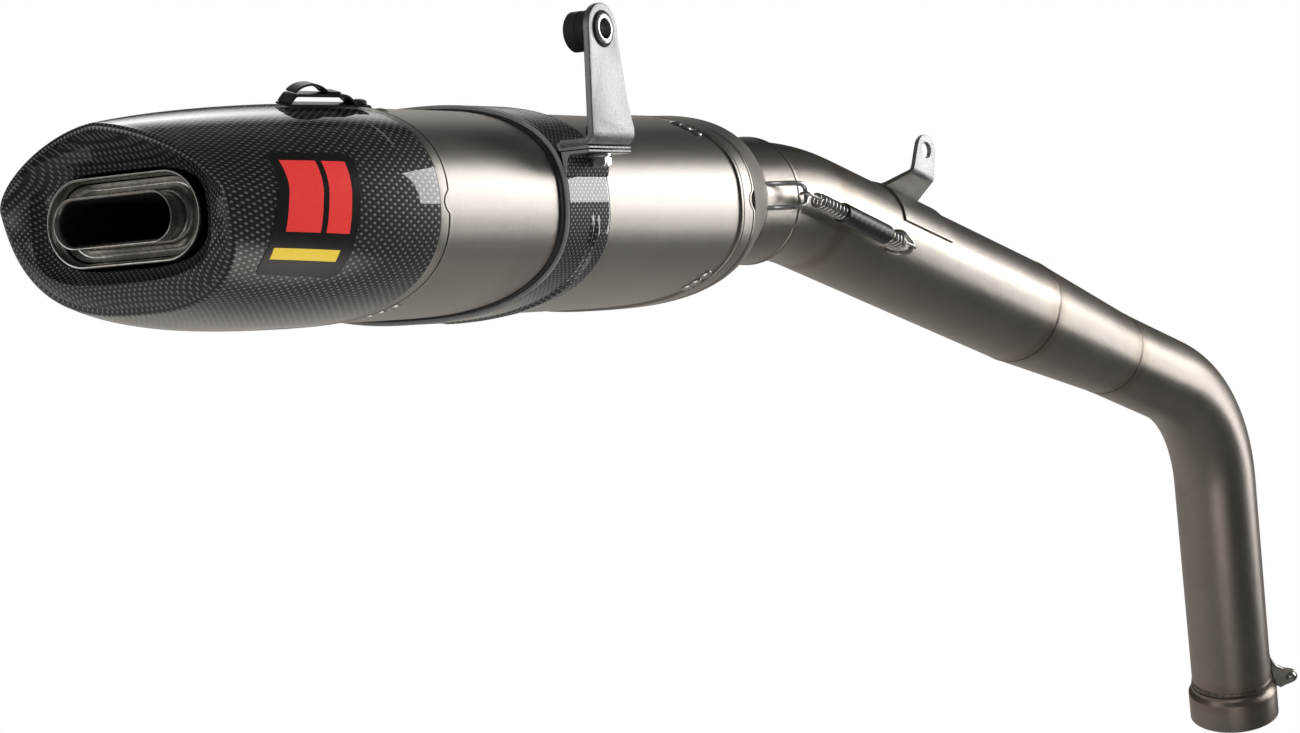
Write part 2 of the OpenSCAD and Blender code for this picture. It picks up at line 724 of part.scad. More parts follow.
// A sheet strip bent into a low bridge, on a thin base strip
module shield_bracket() {
    half = shield_l / 2;
    color(black) on_cap_top() difference() {
        translate([0, shield_w / 2, 0]) rotate([90, 0, 0]) linear_extrude(shield_w) difference() {
            polygon([
                [-half, 0], [half + 5, 0], [half + 5, 0.9], [half, 0.9],
                [half - 5.5, shield_h], [-half + 3, shield_h]
            ]);
            polygon([
                [-half + 2, 0.9], [half - 3, 0.9],
                [half - 6.4, shield_h - sheet_t], [-half + 4, shield_h - sheet_t]
            ]);
        }
        translate([half + 2.4, 0, -1]) cylinder(r = 1.7, h = 2.5, $fn = 32);
    }
}
// Spring clip: a bowed leaf that rises from the bridge
module shield_clip() {
    outer = 11;
    leaf = 1;
    color(black) on_cap_top() translate([-3.3, 4, shield_h + 0.15]) rotate([90, 0, 0]) linear_extrude(8) {
        translate([-2, 3.9 - outer]) intersection() {
            difference() {
                circle(outer);
                circle(outer - leaf);
            }
            polygon([[0, 7.1], [18, 7.1], [18, 30], [-13, 30], [-9.4, 10.4], [-6.9, 7.6]]);
        }
        polygon([[4.6, 0], [11, 0], [11, 0.9], [7.6, 0.9], [6.6, 1.5], [5.2, 1.4]]);
    }
}
module shield_screws() {
    color(black) on_cap_top() translate([shield_l / 2 + 2.4, 0, 0]) {
        translate([0, 0, 1]) cylinder(r1 = 2.3, r2 = 1.8, h = 1.6, $fn = 32);
        translate([0, 0, -0.4]) cylinder(r = 1.6, h = 2, $fn = 32);
    }
}

// Plain satin patch on the near side of the end cap
module badge_patch() {
    cols = 8;
    rows = 12;
    patch_t = 0.35;
    // surface point of the cap at x and height z, pushed out by lift
    function patch_point(u, v, lift) = let (
        z = mix(mix(-25, -28, u), mix(21, 19.4, u), v), x = mix(mix(-88, -75, v), mix(-50, -42, v), u),
        t = -x / (end_cap_l - 3)
    ) [x - z * tan(rim_rake * t * t), -cap_side(t, z, lift), z];
    span = rows + 1;
    grid = span * (cols + 1);
    points = [
        for (lift = [0.12, 0.12 + patch_t], i = [0 : cols], j = [0 : rows])
            patch_point(i / cols, j / rows, lift)
    ];
    edge = concat(
        [for (j = [0 : rows - 1]) j], [for (i = [0 : cols - 1]) i * span + rows],
        [for (j = [0 : rows - 1]) cols * span + rows - j], [for (i = [0 : cols - 1]) (cols - i) * span]
    );
    skins = [
        for (i = [0 : cols - 1], j = [0 : rows - 1])
            let (a = i * span + j, b = a + 1, c = a + span + 1, d = a + span)
                each [[a, b, c], [a, c, d], [a + grid, c + grid, b + grid], [a + grid, d + grid, c + grid]]
    ];
    rim = [
        for (k = [0 : len(edge) - 1]) let (a = edge[k], b = edge[(k + 1) % len(edge)])
            each [[a, a + grid, b + grid], [a, b + grid, b]]
    ];
    color(black) on_muffler() polyhedron(points = points, faces = concat(skins, rim), convexity = 4);
}

// ---- Noise insert, which slides out of the outlet ----

insert_play = 0.4;
insert_x = -end_cap_l - 0.6;
module insert_plate() {
    color(steel) on_muffler() along_x(outlet_x + 4.5, 2) difference() {
        stadium(outlet_half, outlet_r - wall - insert_play);
        stadium(insert_half, insert_r + skin);
    }
}
module insert_tube() color(steel) on_muffler() stadium_tube(insert_half, insert_r, 1.2, insert_x, insert_l);
module insert_clip() {
    color(steel) on_muffler() along_x(insert_x + insert_l - 8, 1.5) difference() {
        stadium(outlet_half, outlet_r - wall - insert_play);
        stadium(insert_half, insert_r + skin);
        for (s = [-1, 1]) translate([0, s * (outlet_r - 3)]) square([18, 6], center = true);
    }
}

// ---- Springs ----

coil_r = 3.5;
spring_wire = 0.8;
tail_l = 9;
function to_frame(p) = p + [muffler_x, muffler_y, muffler_z];
function spring_start(side) =
    to_frame([neck_hook_x + neck_hook_l + 3, side * (neck_r + hook_out - 2), neck_rise - 1]);
function spring_end(side) =
    beside_pipe(pipe_hook_at - 2.2, upper_d / 2 + hook_out + 0.5, side * pipe_hook_angle);
// A close coil drawn as a ribbed barrel, with a straight tail at each end
module spring(side) {
    a = spring_start(side);
    b = spring_end(side);
    turns = 22;
    coil = norm(b - a) - 2 * tail_l;
    pitch = coil / turns;
    crest = coil_r + spring_wire;
    color(bright) aim(a, b - a, [0, 0, 1]) rotate_extrude($fn = 48) polygon(concat(
        [[0, 0], [spring_wire, 0], [spring_wire, tail_l]],
        [for (i = [0 : turns - 1], k = [0, 1]) [k == 0 ? crest - 0.4 : crest, tail_l + (i + k / 2) * pitch]],
        [[crest - 0.4, tail_l + coil], [spring_wire, tail_l + coil], [spring_wire, coil + 2 * tail_l]],
        [[0, coil + 2 * tail_l]]
    ));
}
module spring_near() spring(-1);
module spring_far() spring(1);
module spring_sleeve(side) {
    a = spring_start(side);
    b = spring_end(side);
    covered = 48;
    color(black) aim(mix(a, b, 0.60) - unit(b - a) * covered / 2, b - a, [0, 0, 1])
        pipe(coil_r + spring_wire + 0.7, 0.6, covered);
}
module spring_sleeve_near() spring_sleeve(-1);
module spring_sleeve_far() spring_sleeve(1);

inlet_collar();
inlet_hook();
lower_pipe();
lower_elbow();
middle_pipe();
reducer_cone();
upper_pipe();
upper_elbow();
slip_spigot();
weld_seams();
bracket_doubler();
pipe_bracket();
pipe_hook_near();
pipe_hook_far();
inlet_neck();
front_cap();
front_band();
outer_sleeve();
rear_band();
end_cap();
front_rivets();
rear_rivets();
core_tube();
packing_wool();
front_baffle();
rear_baffle();
outlet_baffle();
outlet_tube();
neck_hook_near();
neck_hook_far();
clamp_lining();
clamp_strap();
clamp_bolt();
clamp_washers();
clamp_nut();
hanger_arm();
hanger_grommet();
hanger_bush();
shield_bracket();
shield_clip();
shield_screws();
badge_patch();
insert_plate();
insert_tube();
insert_clip();
spring_near();
spring_far();
spring_sleeve_near();
spring_sleeve_far();
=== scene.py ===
import math
import bmesh
import bpy
import numpy as np
from mathutils import Matrix, Vector


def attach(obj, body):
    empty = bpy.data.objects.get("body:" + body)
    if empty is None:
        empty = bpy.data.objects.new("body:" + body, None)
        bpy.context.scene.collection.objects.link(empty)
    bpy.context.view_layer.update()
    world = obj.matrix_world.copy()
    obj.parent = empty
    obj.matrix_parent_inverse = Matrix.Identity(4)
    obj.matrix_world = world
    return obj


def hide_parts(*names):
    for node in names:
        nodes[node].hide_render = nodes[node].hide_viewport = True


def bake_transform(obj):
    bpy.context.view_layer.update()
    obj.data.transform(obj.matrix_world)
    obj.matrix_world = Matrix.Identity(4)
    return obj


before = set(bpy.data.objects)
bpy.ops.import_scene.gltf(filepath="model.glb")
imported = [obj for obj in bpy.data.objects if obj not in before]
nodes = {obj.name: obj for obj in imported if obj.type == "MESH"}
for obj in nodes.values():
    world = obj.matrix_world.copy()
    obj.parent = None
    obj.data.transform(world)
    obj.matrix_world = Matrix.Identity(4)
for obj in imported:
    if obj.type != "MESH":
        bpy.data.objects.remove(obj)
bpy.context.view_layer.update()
scene = bpy.context.scene

# ---------------------------------------------------------------- sizes, in millimetres
MM = 0.001
WALL = 1.2
LOWER_R = 25.4
UPPER_R = 30.25
SLEEVE_W = 81.7
SLEEVE_H = 44.3
SLEEVE_N = 2.49
BAND_T = 1.1
CAP_W = SLEEVE_W + BAND_T
CAP_H = SLEEVE_H + BAND_T
SLEEVE_L = 233.0
FRONT_BAND_L = 12.0
REAR_BAND_L = 8.0
NOTCH_L = 3.2
FRONT_CAP_L = 98.0
NECK_L = 34.0
END_CAP_L = 99.0
RIM_W = 58.5
RIM_H = 37.25
RIM_RAKE = 16.0
RIM_N = 2.7
RIM_TOP = 1.5
RIM_NOSE = 7.5
CREASE_W = 46.0
CREASE_H = 24.5
POCKET_W = 40.4
POCKET_H = 19.4
POCKET_N = 3.3
NECK_RISE = 6.0
NECK_R = UPPER_R + 0.07 + 1.9
CLAMP_X = 88.5
CLAMP_L = 32.5
STRAP_W = SLEEVE_W + 0.96 + 1.7
STRAP_H = SLEEVE_H + 0.96 + 1.7
EAR_OUT = STRAP_W + 12
EAR_TOP = 22.3
HOOK_AT = 170.0
HOOK_ANGLE = 104
LEG_L = 220
COLLAR_END = 19
LOW_BEND_R = 104
HIGH_BEND_R = 148
MIDDLE_L = 71
UP = Vector((0, 0, 1))

LEAN = math.radians(19.5)
LEAN_SIDE = math.radians(20)
DIR_LOW = Vector((-math.sin(LEAN) * math.cos(LEAN_SIDE), -math.sin(LEAN) * math.sin(LEAN_SIDE), math.cos(LEAN)))
LOW_CORNER = DIR_LOW * LEG_L
HIGH_CORNER = LOW_CORNER + Vector((-440, 46, 130))
DIR_MID = (HIGH_CORNER - LOW_CORNER).normalized()
DIR_TOP = Vector((-1, 0, 0))
LOW_TURN = math.acos(DIR_LOW.dot(DIR_MID))
HIGH_TURN = math.acos(DIR_MID.dot(DIR_TOP))
LOW_TANGENT = LOW_BEND_R * math.tan(LOW_TURN / 2)
HIGH_TANGENT = HIGH_BEND_R * math.tan(HIGH_TURN / 2)
CONE_START = LOW_CORNER + DIR_MID * (LOW_TANGENT + MIDDLE_L)
CONE_END = CONE_START + DIR_MID * 102
HIGH_EXIT = HIGH_CORNER + DIR_TOP * HIGH_TANGENT
NECK_START = SLEEVE_L + FRONT_BAND_L + FRONT_CAP_L
NECK_END = NECK_START + NECK_L
MUFFLER = Vector((HIGH_EXIT.x - 10 - NECK_END, HIGH_CORNER.y, HIGH_CORNER.z - NECK_RISE))
MID_SIDE = DIR_MID.cross(Vector((0, 0, 1))).normalized()
MID_UP = MID_SIDE.cross(DIR_MID)


def mix(a, b, t):
    return a + (b - a) * t


def smooth(t):
    t = min(1.0, max(0.0, t))
    return t * t * (3 - 2 * t)


# ---------------------------------------------------------------- mesh building
class Part:
    """Collects faces in millimetres, each with its UV in units of 100 mm."""

    def __init__(self):
        self.points = []
        self.faces = []
        self.uvs = []
        self.slots = []

    def grid(self, rings, slot=0, wrap=True, loop=False, uv=None, row_slots=None, flip=False):
        """Rows of points joined by faces. wrap closes each row, and loop joins the last row to the first."""
        base = len(self.points)
        n = len(rings[0])
        array = np.array([[tuple(p) for p in r] for r in rings], float)
        rows = np.concatenate([array, array[:1]]) if loop else array
        cols = np.concatenate([rows, rows[:, :1]], axis=1) if wrap else rows
        if uv is None:
            along = np.concatenate([[0], np.cumsum(np.linalg.norm(np.diff(rows, axis=0), axis=2).mean(axis=1))]) / 100
            spans = np.linalg.norm(np.diff(cols, axis=1), axis=2)
            widest = spans[spans.sum(axis=1).argmax()]
            around = np.concatenate([[0], np.cumsum(widest)]) / 100
            uv = [[(along[i], around[j]) for j in range(cols.shape[1])] for i in range(rows.shape[0])]
        for r in rings:
            self.points.extend(tuple(p) for p in r)
        count = len(rings)
        steps = count if loop else count - 1
        width = n if wrap else n - 1
        for i in range(steps):
            k = (i + 1) % count
            s = row_slots[i] if row_slots else slot
            for j in range(width):
                m = (j + 1) % n
                face = (base + i * n + j, base + k * n + j, base + k * n + m, base + i * n + m)
                self.faces.append(face[::-1] if flip else face)
                tex = (uv[i][j], uv[i + 1][j], uv[i + 1][j + 1], uv[i][j + 1])
                self.uvs.append(tex[::-1] if flip else tex)
                self.slots.append(s)

    def fan(self, ring, slot=0):
        """Closes a row with a flat face."""
        base = len(self.points)
        self.points.extend(tuple(p) for p in ring)
        self.faces.append(tuple(range(base, base + len(ring))))
        self.uvs.append(tuple((p[1] / 100, p[2] / 100) for p in ring))
        self.slots.append(slot)

    def capped(self, rings, slot=0):
        """A grid with a flat face over its first and its last row."""
        self.grid(rings, slot)
        self.fan(rings[0], slot)
        self.fan(rings[-1], slot)

    def build(self, name, materials, body, replaces=(), angle=32, blend=None):
        """Makes the object, which rides on one body; with blend given, it rides on none and its placement is baked into
        the mesh.
        """
        mesh = bpy.data.meshes.new(name)
        mesh.from_pydata([(x * MM, y * MM, z * MM) for x, y, z in self.points], [], self.faces)
        layer = mesh.uv_layers.new(name="UVMap")
        flat = [c for face in self.uvs for pair in face for c in pair]
        layer.data.foreach_set("uv", flat)
        mesh.polygons.foreach_set("material_index", self.slots)
        for m in materials:
            mesh.materials.append(m)
        work = bmesh.new()
        work.from_mesh(mesh)
        bmesh.ops.remove_doubles(work, verts=work.verts, dist=1e-6)
        bmesh.ops.recalc_face_normals(work, faces=work.faces)
        work.to_mesh(mesh)
        work.free()
        mesh.polygons.foreach_set("use_smooth", [True] * len(mesh.polygons))
        mesh.set_sharp_from_angle(angle=math.radians(angle))
        mesh.update()
        piece = bpy.data.objects.new(name, mesh)
        scene.collection.objects.link(piece)
        if blend:
            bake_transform(piece)
        else:
            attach(piece, body)
        if replaces:
            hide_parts(*replaces)
        return piece


def local(points):
    """Moves points from the muffler's frame to the shared frame."""
    return [tuple(MUFFLER + Vector(p)) for p in points]


QUARTER = 44


def quadrant(w, h, n):
    """Even steps along a quarter of a superellipse, from its bottom (0, -h) to its side (w, 0)."""
    a = np.linspace(-math.pi / 2, 0, 600)
    y = w * np.abs(np.cos(a)) ** (2 / n)
    z = -h * np.abs(np.sin(a)) ** (2 / n)
    y[0] = 0.0
    z[-1] = 0.0
    s = np.concatenate([[0], np.cumsum(np.hypot(np.diff(y), np.diff(z)))])
    t = np.linspace(0, s[-1], QUARTER + 1)
    return list(zip(np.interp(t, s, y), np.interp(t, s, z)))


def oval(w, h, n, top=None, nose=0.0):
    """A whole section as (y, z): from the bottom over the near side, the top and the far side.

    The upper half can have its own roundness, and the widest point can sit higher, at nose.
    """
    low = [(y, z + nose) for y, z in quadrant(w, h + nose, n)]
    high = [(y, nose - z) for y, z in quadrant(w, h - nose, top if top else n)]
    near_low = [(-y, z) for y, z in low[:-1]]
    near_high = [(-y, z) for y, z in high[::-1][:-1]]
    far_high = [(y, z) for y, z in high[:-1]]
    far_low = [(y, z) for y, z in low[::-1][:-1]]
    return near_low + near_high + far_high + far_low


def ring(w, h, n, x, lift=0.0, rake=0.0, top=None, nose=0.0):
    t = math.tan(math.radians(rake))
    return local([(x - z * t, y, z + lift) for y, z in oval(w, h, n, top, nose)])


def stadium(half, r, count=20):
    """A slot outline as (y, z), counter-clockwise."""
    out = [(half + r * math.cos(a), r * math.sin(a)) for a in np.linspace(-math.pi / 2, math.pi / 2, count)]
    out += [(mix(half, -half, t), r) for t in np.linspace(0, 1, 12)[1:-1]]
    out += [(-half + r * math.cos(a), r * math.sin(a)) for a in np.linspace(math.pi / 2, 3 * math.pi / 2, count)]
    out += [(mix(-half, half, t), -r) for t in np.linspace(0, 1, 12)[1:-1]]
    return out


def slot_ring(half, r, x):
    return local([(x, y, z) for y, z in stadium(half, r)])


def steady(axis):
    """A direction well away from the axis."""
    return Vector((0, 0, 1)) if abs(axis.z) < 0.9 else Vector((1, 0, 0))

def across(axis):
    """Two unit vectors square to a unit axis and to each other."""
    side = steady(axis)
    u = (side - axis * side.dot(axis)).normalized()
    return u, axis.cross(u)

def round_angles(count):
    return np.linspace(0, 2 * math.pi, count, endpoint=False)

def circle(at, u, v, r, count):
    return [at + (u * math.cos(a) + v * math.sin(a)) * r for a in round_angles(count)]

def frames(path):
    """A steady pair of side vectors for each point of a path."""
    last = len(path) - 1
    tangents = [(path[min(last, i + 1)] - path[max(0, i - 1)]).normalized() for i in range(last + 1)]
    side = steady(tangents[0])
    result = []
    for t in tangents:
        side = (side - t * side.dot(t)).normalized()
        result.append((side, t.cross(side)))
    return result

def tube_rows(path, radii, count):
    return [circle(p, u, v, r, count) for p, r, (u, v) in zip(path, radii, frames(path))]

def rod(part, path, r, count=14):
    """Round wire or rod with domed ends."""
    dome = [0.0, 0.5, 0.86]
    ends = [r * (1 - d) * 0.6 for d in dome]
    first = [path[0] - (path[1] - path[0]).normalized() * (r * 0.6 - e) for e in ends]
    last = [path[-1] + (path[-1] - path[-2]).normalized() * (r * 0.6 - e) for e in ends]
    radii = [r * math.sqrt(max(0.02, 1 - (1 - d) ** 2)) for d in dome]
    part.capped(tube_rows(first + list(path) + last[::-1], radii + [r] * len(path) + radii[::-1], count))

def rounded(points, steps=8):
    """A smooth curve through points."""
    pts = [Vector(p) for p in points]
    pts = [pts[0] * 2 - pts[1]] + pts + [pts[-1] * 2 - pts[-2]]
    out = []
    for i in range(1, len(pts) - 2):
        a, b, c, d = pts[i - 1:i + 3]
        for k in range(steps):
            t = k / steps
            bend = (2 * a - 5 * b + 4 * c - d) * t * t + (3 * b - a - 3 * c + d) * t ** 3
            out.append(0.5 * ((2 * b) + (c - a) * t + bend))
    out.append(pts[-2])
    return out


def revolve(part, profile, at, axis, count=96, loop=True):
    """Turns a profile of (distance along the axis, radius) about a line."""
    axis = axis.normalized()
    u, v = across(axis)
    part.grid([circle(at + axis * s, u, v, r, count) for s, r in profile], loop=loop)

def plate(part, outline, thickness, place, holes=(), bevel=0.4, cuts=()):
    """A flat plate from an outline of (a, b), with rounded edges and round holes (a, b, r).

    It is cut across at each b in cuts, and then bent by place(a, b, c).
    """
    curve = bpy.data.curves.new("plate", "CURVE")
    curve.dimensions = "2D"
    curve.fill_mode = "BOTH"
    curve.extrude = thickness / 2 - bevel
    curve.bevel_depth = bevel
    curve.bevel_resolution = 2
    curve.offset = -bevel
    loops = [list(outline)]
    for a, b, r in holes:
        loops.append([(a + r * math.cos(t), b + r * math.sin(t)) for t in round_angles(48)])
    for points in loops:
        spline = curve.splines.new("POLY")
        spline.points.add(len(points) - 1)
        for target, p in zip(spline.points, points):
            target.co = (p[0], p[1], 0, 1)
        spline.use_cyclic_u = True
    holder = bpy.data.objects.new("plate", curve)
    scene.collection.objects.link(holder)
    flat = bpy.data.meshes.new_from_object(holder.evaluated_get(bpy.context.evaluated_depsgraph_get()))
    work = bmesh.new()
    work.from_mesh(flat)
    bmesh.ops.remove_doubles(work, verts=work.verts, dist=1e-4)
    for b in cuts:
        everything = work.verts[:] + work.edges[:] + work.faces[:]
        bmesh.ops.bisect_plane(work, geom=everything, plane_co=(0, b, 0), plane_no=(0, 1, 0))
    work.verts.index_update()
    points = [v.co.copy() for v in work.verts]
    faces = [[v.index for v in f.verts] for f in work.faces]
    base = len(part.points)
    part.points.extend(tuple(place(p.x, p.y, p.z)) for p in points)
    for f in faces:
        part.faces.append(tuple(base + i for i in f))
        part.uvs.append(tuple((points[i].x / 100, points[i].y / 100) for i in f))
        part.slots.append(0)
    work.free()
    bpy.data.objects.remove(holder)
    bpy.data.curves.remove(curve)
    bpy.data.meshes.remove(flat)


# ---------------------------------------------------------------- materials
def blank(owner):
    """The emptied node tree of a new material or world."""
    owner.use_nodes = True
    owner.node_tree.nodes.clear()
    return owner.node_tree

def add_node(tree, kind, inputs=(), **props):
    """A shader node with its settings, and a number, colour or socket for each input given."""
    made = tree.nodes.new(kind)
    for key, value in props.items():
        setattr(made, key, value)
    for key, value in dict(inputs).items():
        if isinstance(value, bpy.types.NodeSocket):
            tree.links.new(value, made.inputs[key])
        else:
            made.inputs[key].default_value = value
    return made

def smooth_range(tree, value, low, high, to_low, to_high):
    inputs = {0: value, 1: low, 2: high, 3: to_low, 4: to_high}
    return add_node(tree, "ShaderNodeMapRange", inputs, interpolation_type="SMOOTHSTEP").outputs[0]

class Look:
    """A node material with a Principled shader and short helpers."""

    def __init__(self, name, **values):
        self.material = bpy.data.materials.new(name)
        self.tree = blank(self.material)
        self.shader = self.tree.nodes.new("ShaderNodeBsdfPrincipled")
        add_node(self.tree, "ShaderNodeOutputMaterial", {0: self.shader.outputs[0]})
        for key, value in values.items():
            self.set(key.replace("_", " "), value)

    def set(self, key, value):
        socket = self.shader.inputs[key]
        if isinstance(value, bpy.types.NodeSocket):
            self.tree.links.new(value, socket)
        else:
            socket.default_value = (*value, 1.0) if isinstance(value, tuple) and len(value) == 3 else value

    def node(self, kind, inputs=(), **props):
        return add_node(self.tree, kind, inputs, **props)

    def math(self, operation, a, b=0.0, c=0.0, clamp=False):
        return self.node("ShaderNodeMath", {0: a, 1: b, 2: c}, operation=operation, use_clamp=clamp).outputs[0]

    def blend(self, t, a, b):
        a, b = [(*c, 1.0) if isinstance(c, tuple) else c for c in (a, b)]
        return self.node("ShaderNodeMix", {0: t, 6: a, 7: b}, data_type="RGBA").outputs[2]

    def uv(self):
        return self.node("ShaderNodeTexCoord").outputs["UV"]

    def place(self):
        return self.node("ShaderNodeTexCoord").outputs["Object"]

    def stretch(self, vector, x, y, z):
        return self.node("ShaderNodeMapping", {"Vector": vector, "Scale": (x, y, z)}).outputs[0]

    def parts(self, vector):
        return self.node("ShaderNodeSeparateXYZ", {0: vector}).outputs

    def noise(self, vector, scale, detail=3.0, rough=0.55):
        inputs = {"Vector": vector, "Scale": scale, "Detail": detail, "Roughness": rough}
        return self.node("ShaderNodeTexNoise", inputs).outputs[0]

    def span(self, value, low, high, to_low=0.0, to_high=1.0):
        return smooth_range(self.tree, value, low, high, to_low, to_high)

    def bump(self, height, strength, distance):
        made = self.node("ShaderNodeBump", {"Height": height, "Strength": strength, "Distance": distance})
        self.set("Normal", made.outputs[0])


def titanium(name, dark, light, grain=(900, 14), rough=(0.28, 0.37), seams=(), tint_width=0.16, strength=0.16):
    """Brushed titanium, with brown and straw heat tint beside the seams at these distances along the UV."""
    look = Look(name, Metallic=1.0)
    uv = look.uv()
    streaks = look.noise(look.stretch(uv, grain[0], grain[1], 1), 1.0, 4.0, 0.6)
    broad = look.noise(look.stretch(uv, 3.2, 2.4, 1), 1.0, 4.0, 0.6)
    fine = look.noise(look.place(), 900.0, 2.0)
    tone = look.math("MULTIPLY_ADD", streaks, 0.75, look.math("MULTIPLY", broad, 0.25))
    colour = look.blend(look.span(tone, 0.3, 0.7), dark, light)
    along = look.parts(uv)[0]
    for at in seams:
        gap = look.math("ABSOLUTE", look.math("SUBTRACT", along, at))
        wobble = look.math("MULTIPLY_ADD", broad, 0.06, look.math("SUBTRACT", gap, 0.03))
        straw = look.span(wobble, tint_width, tint_width * 0.35)
        bronze = look.span(wobble, tint_width * 0.6, 0.02)
        colour = look.blend(look.math("MULTIPLY", straw, 0.22), colour, (0.40, 0.33, 0.25))
        colour = look.blend(look.math("MULTIPLY", bronze, 0.35), colour, (0.20, 0.16, 0.14))
    look.set("Base Color", colour)
    look.set("Roughness", look.math("MULTIPLY_ADD", look.span(tone, 0.25, 0.75), rough[1] - rough[0], rough[0]))
    look.bump(look.math("MULTIPLY_ADD", streaks, 1.0, look.math("MULTIPLY", fine, 0.3)), strength, 0.0004)
    return look.material


def carbon(name, pitch=(2.2, 1.6), depth=0.35, turned=False):
    """Clear-coated carbon cloth with painted highlight: a bright dot painted where each weft tow passes over a warp
    tow, and a faint painted sheen on the warp tows.
    """
    look = Look(name)
    u, v = look.parts(look.uv())[:2]
    a = look.math("MULTIPLY_ADD", u, 100 / pitch[0], 400.0)
    b = look.math("MULTIPLY_ADD", v, 100 / pitch[1], 400.0)
    if turned:
        a, b = b, a
    along_weft = look.math("MODULO", look.math("ADD", a, look.math("FLOOR", b)), 2.0)
    along_warp = look.math("MODULO", look.math("ADD", b, look.math("FLOOR", a)), 2.0)
    weft_over = look.math("SINE", look.math("MULTIPLY", look.math("SUBTRACT", along_weft, 1.0), math.pi))
    warp_over = look.math("SINE", look.math("MULTIPLY", along_warp, math.pi))
    across_weft = look.math("SINE", look.math("MULTIPLY", look.math("FRACT", b), math.pi))
    across_warp = look.math("SINE", look.math("MULTIPLY", look.math("FRACT", a), math.pi))
    weft = look.math("MULTIPLY", look.math("MAXIMUM", weft_over, 0.0), across_weft)
    warp = look.math("MULTIPLY", look.math("MAXIMUM", warp_over, 0.0), across_warp)
    fibres = look.noise(look.stretch(look.uv(), 900, 900, 1), 1.0, 2.0)
    # painted highlight: the bright grey dot on each weft float and the slightly lighter warp tows stand in for light
    # reflected by the tows
    painted_glint = look.math("MULTIPLY", look.span(weft, 0.30, 0.85), look.math("MULTIPLY_ADD", fibres, 0.6, 0.7), clamp=True)
    painted_sheen = look.span(warp, 0.3, 0.9)
    colour = look.blend(painted_sheen, (0.003, 0.003, 0.0032), (0.008, 0.008, 0.0084))
    look.set("Base Color", look.blend(painted_glint, colour, (0.22, 0.216, 0.212)))
    look.set("Metallic", look.math("MULTIPLY", painted_glint, 0.8))
    look.set("Roughness", look.math("MULTIPLY_ADD", painted_glint, -0.10, 0.55))
    look.set("Specular IOR Level", 0.25)
    look.set("Coat Weight", 1.0)
    look.set("Coat Roughness", 0.03)
    look.set("Coat IOR", 1.5)
    look.bump(look.math("MAXIMUM", weft, warp), depth, 0.0003)
    return look.material


def mottle(look, dark, light, rough, scale, coarse, bump):
    """Mottled colour and roughness, and a fine grain."""
    fine = look.noise(look.place(), scale, 4.0, 0.6)
    broad = look.noise(look.place(), scale / coarse, 3.0)
    tone = look.math("MULTIPLY_ADD", fine, 0.5, look.math("MULTIPLY", broad, 0.5))
    t = look.span(tone, 0.3, 0.7)
    look.set("Base Color", look.blend(t, dark, light))
    look.set("Roughness", look.math("MULTIPLY_ADD", t, rough[1] - rough[0], rough[0]))
    look.bump(fine, bump, 0.0004)

def metal(name, dark, light, rough, scale=260.0, bump=0.08):
    look = Look(name, Metallic=1.0)
    mottle(look, dark, light, rough, scale, 9, bump)
    return look.material

def soft(name, dark, light, rough=(0.5, 0.75), scale=500.0, bump=0.25, level=0.4):
    look = Look(name, Specular_IOR_Level=level)
    mottle(look, dark, light, rough, scale, 12, bump)
    return look.material

def sooty(name):
    """Stainless sheet that darkens with soot away from the outlet."""
    look = Look(name, Metallic=1.0)
    place = look.place()
    x = look.parts(place)[0]
    outlet = (MUFFLER.x - END_CAP_L) * MM
    inside = look.span(x, outlet + 0.004, outlet + 0.055)
    streaks = look.noise(look.stretch(place, 60, 500, 500), 1.0, 4.0, 0.6)
    cloud = look.noise(place, 60.0, 4.0)
    dirt = look.math("MULTIPLY_ADD", cloud, 0.35, look.math("MULTIPLY", inside, 0.45), clamp=True)
    clean = look.blend(look.span(streaks, 0.3, 0.7), (0.40, 0.385, 0.365), (0.58, 0.56, 0.53))
    look.set("Base Color", look.blend(dirt, clean, (0.035, 0.031, 0.028)))
    look.set("Roughness", look.math("MULTIPLY_ADD", dirt, 0.25, 0.2))
    look.bump(streaks, 0.1, 0.0004)
    return look.material


def patch_look(name):
    """Black patch with a plain red block over a thin yellow bar. The UV runs from 0 to 1 over it."""
    look = Look(name)
    u, v = look.parts(look.uv())[:2]

    def box_mask(u0, u1, v0, v1, slant=0.0):
        shift = look.math("MULTIPLY_ADD", v, slant, u)
        inside = look.math("MULTIPLY", look.math("GREATER_THAN", shift, u0), look.math("LESS_THAN", shift, u1))
        rows = look.math("MULTIPLY", look.math("GREATER_THAN", v, v0), look.math("LESS_THAN", v, v1))
        return look.math("MULTIPLY", inside, rows)

    block = box_mask(0.16, 0.92, 0.34, 0.93, 0.06)
    stripe = box_mask(0.56, 0.63, 0.34, 0.93, 0.06)
    bar = box_mask(0.08, 0.86, 0.12, 0.21, 0.06)
    fine = look.noise(look.place(), 900.0, 3.0)
    black = look.blend(look.span(fine, 0.3, 0.7), (0.0045, 0.0045, 0.0045), (0.0065, 0.0065, 0.0065))
    red = look.blend(look.span(fine, 0.3, 0.7), (0.68, 0.024, 0.021), (0.71, 0.028, 0.024))
    yellow = look.blend(look.span(fine, 0.3, 0.7), (0.74, 0.52, 0.03), (0.78, 0.56, 0.04))
    colour = look.blend(block, black, red)
    colour = look.blend(stripe, colour, black)
    colour = look.blend(bar, colour, yellow)
    look.set("Base Color", colour)
    look.set("Roughness", look.math("MULTIPLY_ADD", fine, 0.12, 0.28))
    look.bump(fine, 0.06, 0.0003)
    return look.material


